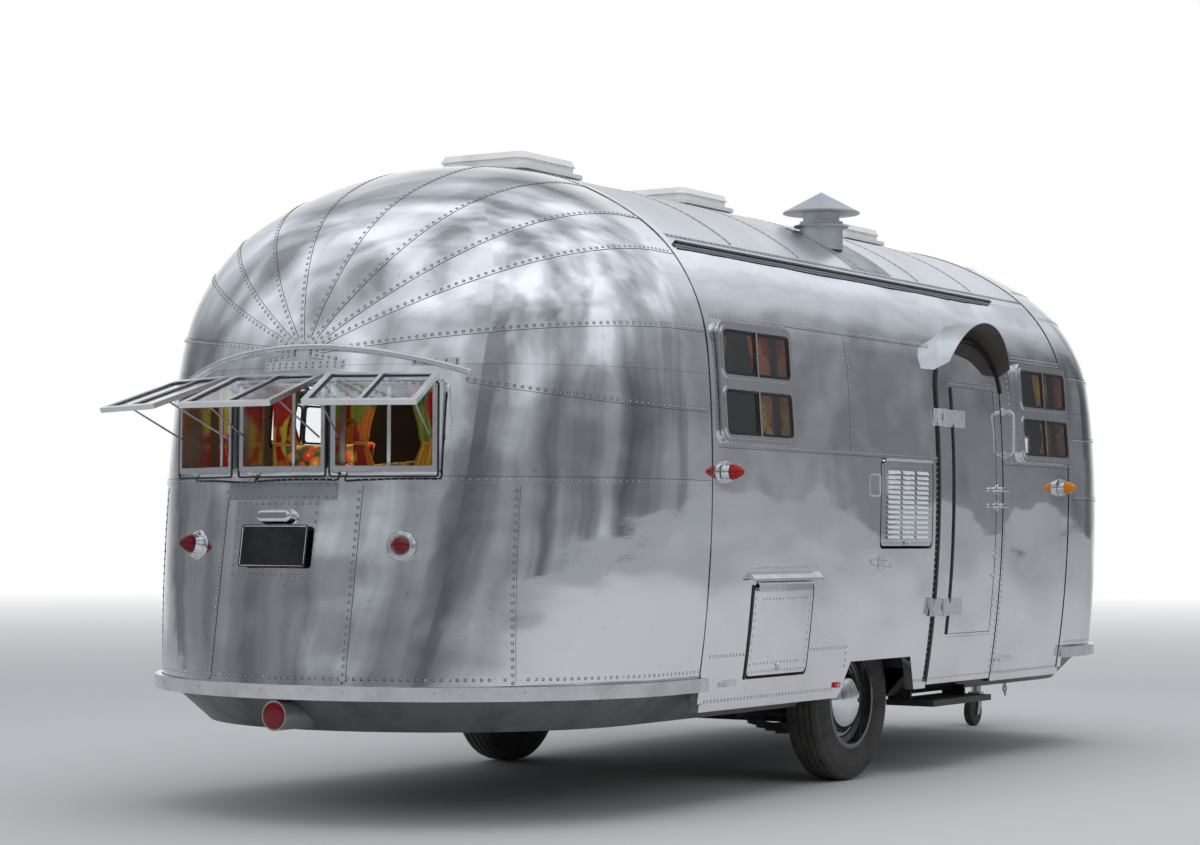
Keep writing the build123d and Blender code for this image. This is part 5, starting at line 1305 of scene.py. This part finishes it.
def makeRubbers(node, spec):
    total = bmesh.new()
    for corners, broad in islandsOf(node):
        middle = sum(corners, Vector()) / len(corners)
        inner = Vector((min(max(middle.x, hull["rearHoop"]), hull["frontHoop"]), 0, middle.z))
        outward = broad if broad.dot(middle - inner) > 0 else -broad
        across = Vector((0, 0, 1)).cross(outward).normalized()
        up = outward.cross(across)
        us, vs, ns = ([(p - middle).dot(way) for p in corners] for way in (across, up, outward))
        centre = middle + across * (max(us) + min(us)) / 2 + up * (max(vs) + min(vs)) / 2
        drop = spec["inset"] + spec["width"] / 2
        path = ringPath((max(us) - min(us)) / 2 - drop, (max(vs) - min(vs)) / 2 - drop, spec["round"])
        for way, level in ((1, max(ns)), (-1, min(ns)))[:2 if spec["both"] else 1]:
            spots = [(centre + across * u + up * v + outward * level, outward * way) for u, v in path]
            layStrip(total, spots, spec["width"], spec["thick"])
    finishPiece(total, node.replace("_", "") + "Rubber", "sealRubber")


for node, spec in rubbers.items():
    makeRubbers(node, spec)


# Black rubber round the end window frames
frameRubber = {"beyond": 0.0470, "halfHeight": 0.1655, "width": 0.007, "thick": 0.0030, "back": 0.0030,
               "round": 0.010}


def makeFrameRubbers(end):
    total = bmesh.new()
    points = [vert.co for vert in nodes[f"{end}_window_frames"].data.vertices]
    way = -1 if end == "rear" else 1
    mine = [h for h in hung if (h[0].x - hull[f"{end}Hoop"]) * way > 0.5]
    for i, (edge, outward, up, _, _) in enumerate(mine):
        for other, outwardToo, _, _, _ in mine[i + 1:]:
            if (other - edge).length < 0.42 and outward.dot(outwardToo) > 0.995:
                middle = (edge + other) / 2
                across = up.cross(outward)
                half = (other - edge).length / 2 + frameRubber["beyond"]
                near = [(p - middle).dot(outward) for p in points if abs((p - middle).dot(across)) < half
                        and abs((p - middle).dot(up)) < 0.17 and 0.03 < (p - middle).dot(outward) < 0.16]
                level = max(near) - frameRubber["back"]
                spots = [(middle + across * u + up * v + outward * level, outward)
                         for u, v in ringPath(half, frameRubber["halfHeight"], frameRubber["round"])]
                layStrip(total, spots, frameRubber["width"], frameRubber["thick"])
    finishPiece(total, f"{end}FrameRubber", "sealRubber")


makeFrameRubbers("rear")
makeFrameRubbers("front")
print("window rubbers laid")


# Cushions: foam swollen by a short cloth run
def pinched(mesh, centre, size, axis, share):
    # Draws the edges of a pillow in so that it is thickest in its middle.
    flat = [i for i in range(3) if i != axis]
    for vert in mesh.verts:
        far = max(abs(vert.co[i] - centre[i]) / (size[i] / 2) for i in flat)
        near = min(abs(vert.co[i] - centre[i]) / (size[i] / 2) for i in flat)
        vert.co[axis] = centre[axis] + (vert.co[axis] - centre[axis]) * (1 - share * far ** 3)
        for i in flat:
            vert.co[i] = centre[i] + (vert.co[i] - centre[i]) * (1 - 0.05 * (far - near) * far)


def swell(name, node, voxel, pressure, cap, inset, axis=None, share=0.0, steps=18, space=None):
    low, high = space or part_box(node)
    mesh = bmesh.new()
    bmesh.ops.create_cube(mesh, size=1.0)
    size = [high[i] - low[i] - 2 * inset for i in range(3)]
    centre = Vector([(high[i] + low[i]) / 2 for i in range(3)])
    bmesh.ops.scale(mesh, verts=mesh.verts[:], vec=size)
    bmesh.ops.bevel(mesh, geom=mesh.edges[:], offset=min(size) * 0.16, affect="EDGES", segments=4, profile=0.5,
                    material=-1)
    bmesh.ops.subdivide_edges(mesh, edges=mesh.edges[:], cuts=6, use_grid_fill=True)
    bmesh.ops.translate(mesh, verts=mesh.verts[:], vec=centre)
    if axis is not None:
        pinched(mesh, centre, size, axis, share)
    piece = finishPiece(mesh, name, "floralWeave")
    remesh = piece.modifiers.new("remesh", "REMESH")
    remesh.mode = "VOXEL"
    remesh.voxel_size = voxel
    graph = bpy.context.evaluated_depsgraph_get()
    data = bpy.data.meshes.new_from_object(piece.evaluated_get(graph))
    piece.modifiers.clear()
    old, piece.data = piece.data, data
    bpy.data.meshes.remove(old)
    rest = [v.co.copy() for v in data.vertices]
    cloth = piece.modifiers.new("cloth", "CLOTH")
    cloth.settings.use_pressure = True
    cloth.settings.uniform_pressure_force = pressure
    cloth.settings.effector_weights.gravity = 0
    cloth.settings.quality = 5
    cloth.collision_settings.use_collision = False
    for tick in range(1, steps + 1):
        bpy.context.scene.frame_set(tick)
    graph = bpy.context.evaluated_depsgraph_get()
    grown = piece.evaluated_get(graph).to_mesh()
    moved = [v.co.copy() for v in grown.vertices]
    piece.evaluated_get(graph).to_mesh_clear()
    piece.modifiers.clear()
    bpy.context.scene.frame_set(1)
    for vert, start, end in zip(data.vertices, rest, moved):
        step = end - start
        place = start + step * min(cap / max(step.length, 1e-9), 1)
        vert.co = [min(max(place[i], low[i] + 0.0005), high[i] + 0.004) for i in range(3)]
    smooth = bmesh.new()
    smooth.from_mesh(data)
    for _ in range(3):
        bmesh.ops.smooth_vert(smooth, verts=smooth.verts[:], factor=0.5, use_axis_x=True, use_axis_y=True,
                              use_axis_z=True)
    smooth.to_mesh(data)
    smooth.free()
    data.materials.clear()
    data.materials.append(finishes["floralWeave"])
    data.shade_smooth()
    if node:
        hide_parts(node)
    return piece, centre, size


def piping(name, piece, centre, axis, level, radius, body="body"):
    # A covered cord sewn round a cushion where its panels meet.
    mesh = bmesh.new()
    mesh.from_mesh(piece.data)
    tree = BVHTree.FromBMesh(mesh)
    mesh.free()
    flat = [i for i in range(3) if i != axis]
    middle = centre.copy()
    middle[axis] = level
    curve = bpy.data.curves.new(name, "CURVE")
    curve.dimensions = "3D"
    curve.bevel_depth = radius
    curve.bevel_resolution = 3
    line = curve.splines.new("POLY")
    count = 160
    points = []
    for k in range(count):
        turn = 2 * math.pi * k / count
        heading = Vector((0, 0, 0))
        heading[flat[0]], heading[flat[1]] = math.cos(turn), math.sin(turn)
        place = tree.ray_cast(middle + heading * 2.0, -heading)[0]
        if place:
            points.append(place)
    line.points.add(len(points) - 1)
    for point, place in zip(line.points, points):
        point.co = (*place, 1)
    line.use_cyclic_u = True
    holder = bpy.data.objects.new(name, curve)
    bpy.context.scene.collection.objects.link(holder)
    graph = bpy.context.evaluated_depsgraph_get()
    data = bpy.data.meshes.new_from_object(holder.evaluated_get(graph))
    bpy.data.objects.remove(holder)
    made = bpy.data.objects.new(name, data)
    bpy.context.scene.collection.objects.link(made)
    data.materials.append(finishes["tieCotton"])
    data.shade_smooth()
    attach(made, body)


def makeCushions():
    seat, centre, size = swell("loungeSeatPad", "lounge_cushion", 0.010, 4.0, 0.010, 0.007)
    for k, word in ((0.36, "Top"), (-0.36, "Foot")):
        piping(f"seatPiping{word}", seat, centre, 2, centre.z + k * size[2], 0.0035)
    pillow, centre, size = swell("looseCushion", "loose_cushion", 0.005, 4.0, 0.012, 0.008, 0, 0.72)
    piping("pillowPiping", pillow, centre, 0, centre.x, 0.0035)
    back, centre, size = swell("backCushion", None, 0.006, 4.0, 0.012, 0.008, 0, 0.70,
                               space=((-2.572, 0.070, 1.032), (-2.432, 0.570, 1.392)))
    piping("backPiping", back, centre, 0, centre.x, 0.0035)


makeCushions()
print("cushions sewn")


# Red side clip ahead of the arch, flashing plate at the flue
clip = {"at": (1.118, 0.424), "size": (0.050, 0.022, 0.010)}
flashing = {"x": (1.655, 2.045), "y": (-0.500, -0.840), "thick": 0.0012, "step": 0.028}


def makeClip():
    mesh = bmesh.new()
    bmesh.ops.create_cube(mesh, size=1.0)
    bmesh.ops.scale(mesh, verts=mesh.verts[:], vec=clip["size"])
    bmesh.ops.bevel(mesh, geom=mesh.edges[:], offset=0.0035, affect="EDGES", segments=3, profile=0.5, material=-1)
    place, normal = sidePoint(local(clip["at"][0]), clip["at"][1], -1)
    bmesh.ops.transform(mesh, verts=mesh.verts[:], matrix=facing(place + normal * 0.004, normal))
    finishPiece(mesh, "sideClip", "clipRed", "body", 40)
    finishPiece(turned([(0, 0.0125), (0.004, 0.012), (0.006, 0.010), (0.006, 0.0), (0, 0.0)], place, normal, 16),
                "sideClipScrew", "chrome")


def crownSpot(x, y, out=0.0):
    turn = math.asin(min(max(y / crownRadius, -1), 1))
    normal = Vector((0, math.sin(turn), math.cos(turn)))
    return Vector((x, 0, crownZ)) + normal * (crownRadius + out), normal


def roofSpot(x, y, out=0.0):
    # On the crown, or on the shoulder outside it.
    if abs(y) <= crownRadius * math.sin(crownTurn):
        return crownSpot(x, y, out)
    side = 1 if y > 0 else -1
    rise = math.sqrt(max(hull["shoulderRadius"] ** 2 - (abs(y) - shoulderY) ** 2, 0))
    return sidePoint(x, shoulderZ + rise, side, out)


def makeFlashing():
    mesh, heads = bmesh.new(), bmesh.new()
    bmesh.ops.create_grid(mesh, x_segments=10, y_segments=12, size=0.5)
    (x0, x1), (y0, y1) = flashing["x"], flashing["y"]
    for vert in mesh.verts:
        vert.co = roofSpot(local(x0 + (vert.co.x + 0.5) * (x1 - x0)), y0 + (vert.co.y + 0.5) * (y1 - y0),
                           flashing["thick"])[0]
    bmesh.ops.recalc_face_normals(mesh, faces=mesh.faces[:])
    if sum(face.normal.z for face in mesh.faces) < 0:
        bmesh.ops.reverse_faces(mesh, faces=mesh.faces[:])
    bmesh.ops.solidify(mesh, geom=mesh.faces[:], thickness=flashing["thick"] * 2)
    finishPiece(mesh, "flueFlashing", "greyTrim")
    inset = 0.012
    xa, xb, ya, yb = x0 + inset, x1 - inset, y0 - inset, y1 + inset
    for (pa, qa), (pb, qb) in (((xa, ya), (xb, ya)), ((xb, ya), (xb, yb)), ((xb, yb), (xa, yb)), ((xa, yb), (xa, ya))):
        count = int(math.hypot(pb - pa, qb - qa) / flashing["step"])
        plantRivets(heads, [roofSpot(local(pa + (pb - pa) * i / count), qa + (qb - qa) * i / count,
                                     flashing["thick"]) for i in range(count)], 0.003)
    finishPiece(heads, "flueFlashingRivets", rivetPair)


makeClip()
makeFlashing()


# Thin pale border on the bare number plate
border = {"inset": 0.0035, "width": 0.0034, "proud": 0.0008}


def makePlateBorder():
    low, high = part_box("number_plate")
    tree = Trees.get("number_plate")
    y0, y1, z0, z1 = low[1] + border["inset"], high[1] - border["inset"], low[2] + border["inset"], \
        high[2] - border["inset"]
    mesh = bmesh.new()
    corners = [(y0, z0), (y1, z0), (y1, z1), (y0, z1)]
    ring = []
    for dy, dz in ((0, 0), (border["width"], border["width"])):
        loop = []
        for (y, z), (sy, sz) in zip(corners, ((1, 1), (-1, 1), (-1, -1), (1, -1))):
            hit, normal, _, _ = tree.ray_cast(Vector((-5, y + sy * 0.004, z + sz * 0.004)), Vector((1, 0, 0)))
            x = (hit.x if hit else low[0]) - border["proud"]
            loop.append(mesh.verts.new((x, y + sy * dy, z + sz * dz)))
        ring.append(loop)
    for a in range(4):
        b = (a + 1) % 4
        mesh.faces.new((ring[0][a], ring[0][b], ring[1][b], ring[1][a]))
    bmesh.ops.recalc_face_normals(mesh, faces=mesh.faces[:])
    if sum(face.normal.x for face in mesh.faces) > 0:
        bmesh.ops.reverse_faces(mesh, faces=mesh.faces[:])
    bmesh.ops.solidify(mesh, geom=mesh.faces[:], thickness=0.0005)
    finishPiece(mesh, "plateBorder", "plateEdge", "body", 0)


makePlateBorder()
print("small trim made")




# Stage, world and lamps
studio = {
    "floorReach": 90.0, "floorColour": (0.55, 0.55, 0.545), "fadeStart": 7.0, "fadeEnd": 34.0,
    "tones": ((0.0, 0.40), (0.475, 0.38), (0.500, 0.24), (0.560, 0.17), (0.620, 0.24), (0.690, 0.50), (0.760, 0.66),
              (0.800, 0.50), (0.860, 0.74), (1.0, 0.82)),
    "cool": (0.92, 0.97, 1.05), "backdrop": (0.80, 0.97),
}
ahead = (math.cos(math.radians(shot["yaw"])), math.sin(math.radians(shot["yaw"])))


class Surround(Finish):
    # The world, painted by direction.
    def __init__(self, name):
        self.material = bpy.data.worlds.new(name)
        self.material.use_nodes = True
        self.tree = self.material.node_tree
        self.shader = self.tree.nodes["Background"]
        self.place = self.node("ShaderNodeTexCoord", out="Generated")


def raysOf(f):
    # Light Path outputs: camera, glossy, transmission.
    outs = f.node("ShaderNodeLightPath").socket.node.outputs
    return [Wire(f, outs[name]) for name in ("Is Camera Ray", "Is Glossy Ray", "Is Transmission Ray")]


def makeStage():
    sheet = bmesh.new()
    bmesh.ops.create_grid(sheet, x_segments=1, y_segments=1, size=studio["floorReach"])
    data = bpy.data.meshes.new("studioFloor")
    sheet.to_mesh(data)
    sheet.free()
    ground = bpy.data.objects.new("studioFloor", data)
    bpy.context.scene.collection.objects.link(ground)
    f = Finish("studioFloor")
    f.give(baseColor=studio["floorColour"], roughness=0.85)
    x, y, _ = f.parts(f.place)
    reach = (x * x + y * y) ** 0.5
    far = f.spread(reach, 0.0, 1.0, studio["fadeStart"], studio["fadeEnd"])
    backdrop = f.spread((x * ahead[0] + y * ahead[1]) / reach, 0.0, 1.0, *studio["backdrop"])
    camera, glossy, through = raysOf(f)
    white = f.node("ShaderNodeEmission", {}, {"Color": (1, 1, 1, 1), "Strength": 1.0})
    seen = f.node("ShaderNodeMixShader", {}, {0: far * (camera + backdrop * (glossy + through)), 2: white})
    f.tree.links.new(f.shader.outputs[0], seen.socket.node.inputs[1])
    f.tree.links.new(seen.socket, f.tree.nodes["Material Output"].inputs[0])
    data.materials.append(f.material)


def makeWorld():
    f = Surround("studio")
    bpy.context.scene.world = f.material
    x, y, z = f.parts(f.place)
    wander = f.noise(2.6, 4.0, 0.55)
    tone = f.ramp((z + (wander - 0.5) * 0.22) * 0.5 + 0.5,
                  *[(at, tuple(level * c for c in studio["cool"])) for at, level in studio["tones"]])
    backdrop = f.spread(x * ahead[0] + y * ahead[1], 0.0, 1.0, *studio["backdrop"])
    streaks = f.spread(f.noise(3.8, 2.5, 0.5, (1, 1, 0.32)), 0.42, 1.50, 0.33, 0.67)
    tone = f.node("ShaderNodeVectorMath", {"operation": "SCALE"}, {0: tone, "Scale": streaks})
    camera, glossy, through = raysOf(f)
    shade = f.blend(camera + backdrop * (glossy + through), tone, (1.0, 1.0, 1.0))
    f.tree.links.new(shade.socket, f.shader.inputs[0])


makeStage()
makeWorld()

lamps = {
    "overhead": {"place": (0.0, -1.5, 9.5), "aim": (0, 0, 0), "size": (16.0, 10.0), "power": 450,
                 "mirrored": False},
    "doorSide": {"place": (-2.0, -12.5, 6.0), "aim": (0, 0, 1.2), "size": (12.0, 5.0), "power": 190,
                 "mirrored": False},
    "behind": {"place": (-13.0, 3.0, 6.0), "aim": (-2, 0, 1.2), "size": (7.0, 5.0), "power": 260,
               "mirrored": False},
    "cabin": {"place": (-2.82, 0.1, 1.80), "aim": (-2.45, 0.12, 1.1), "size": (0.12, 1.1), "power": 7,
              "mirrored": False},
}


def makeLamps():
    for name, lamp in lamps.items():
        data = bpy.data.lights.new(name, "AREA")
        data.shape = "RECTANGLE"
        data.size, data.size_y = lamp["size"]
        data.energy = lamp["power"]
        holder = bpy.data.objects.new(name, data)
        bpy.context.scene.collection.objects.link(holder)
        holder.visible_glossy = lamp["mirrored"]
        holder.visible_camera = holder.visible_transmission = False
        aim = Vector(lamp["aim"]) - Vector(lamp["place"])
        holder.matrix_world = Matrix.Translation(lamp["place"]) @ aim.to_track_quat("-Z", "Y").to_matrix().to_4x4()


makeLamps()
print("stage lit")
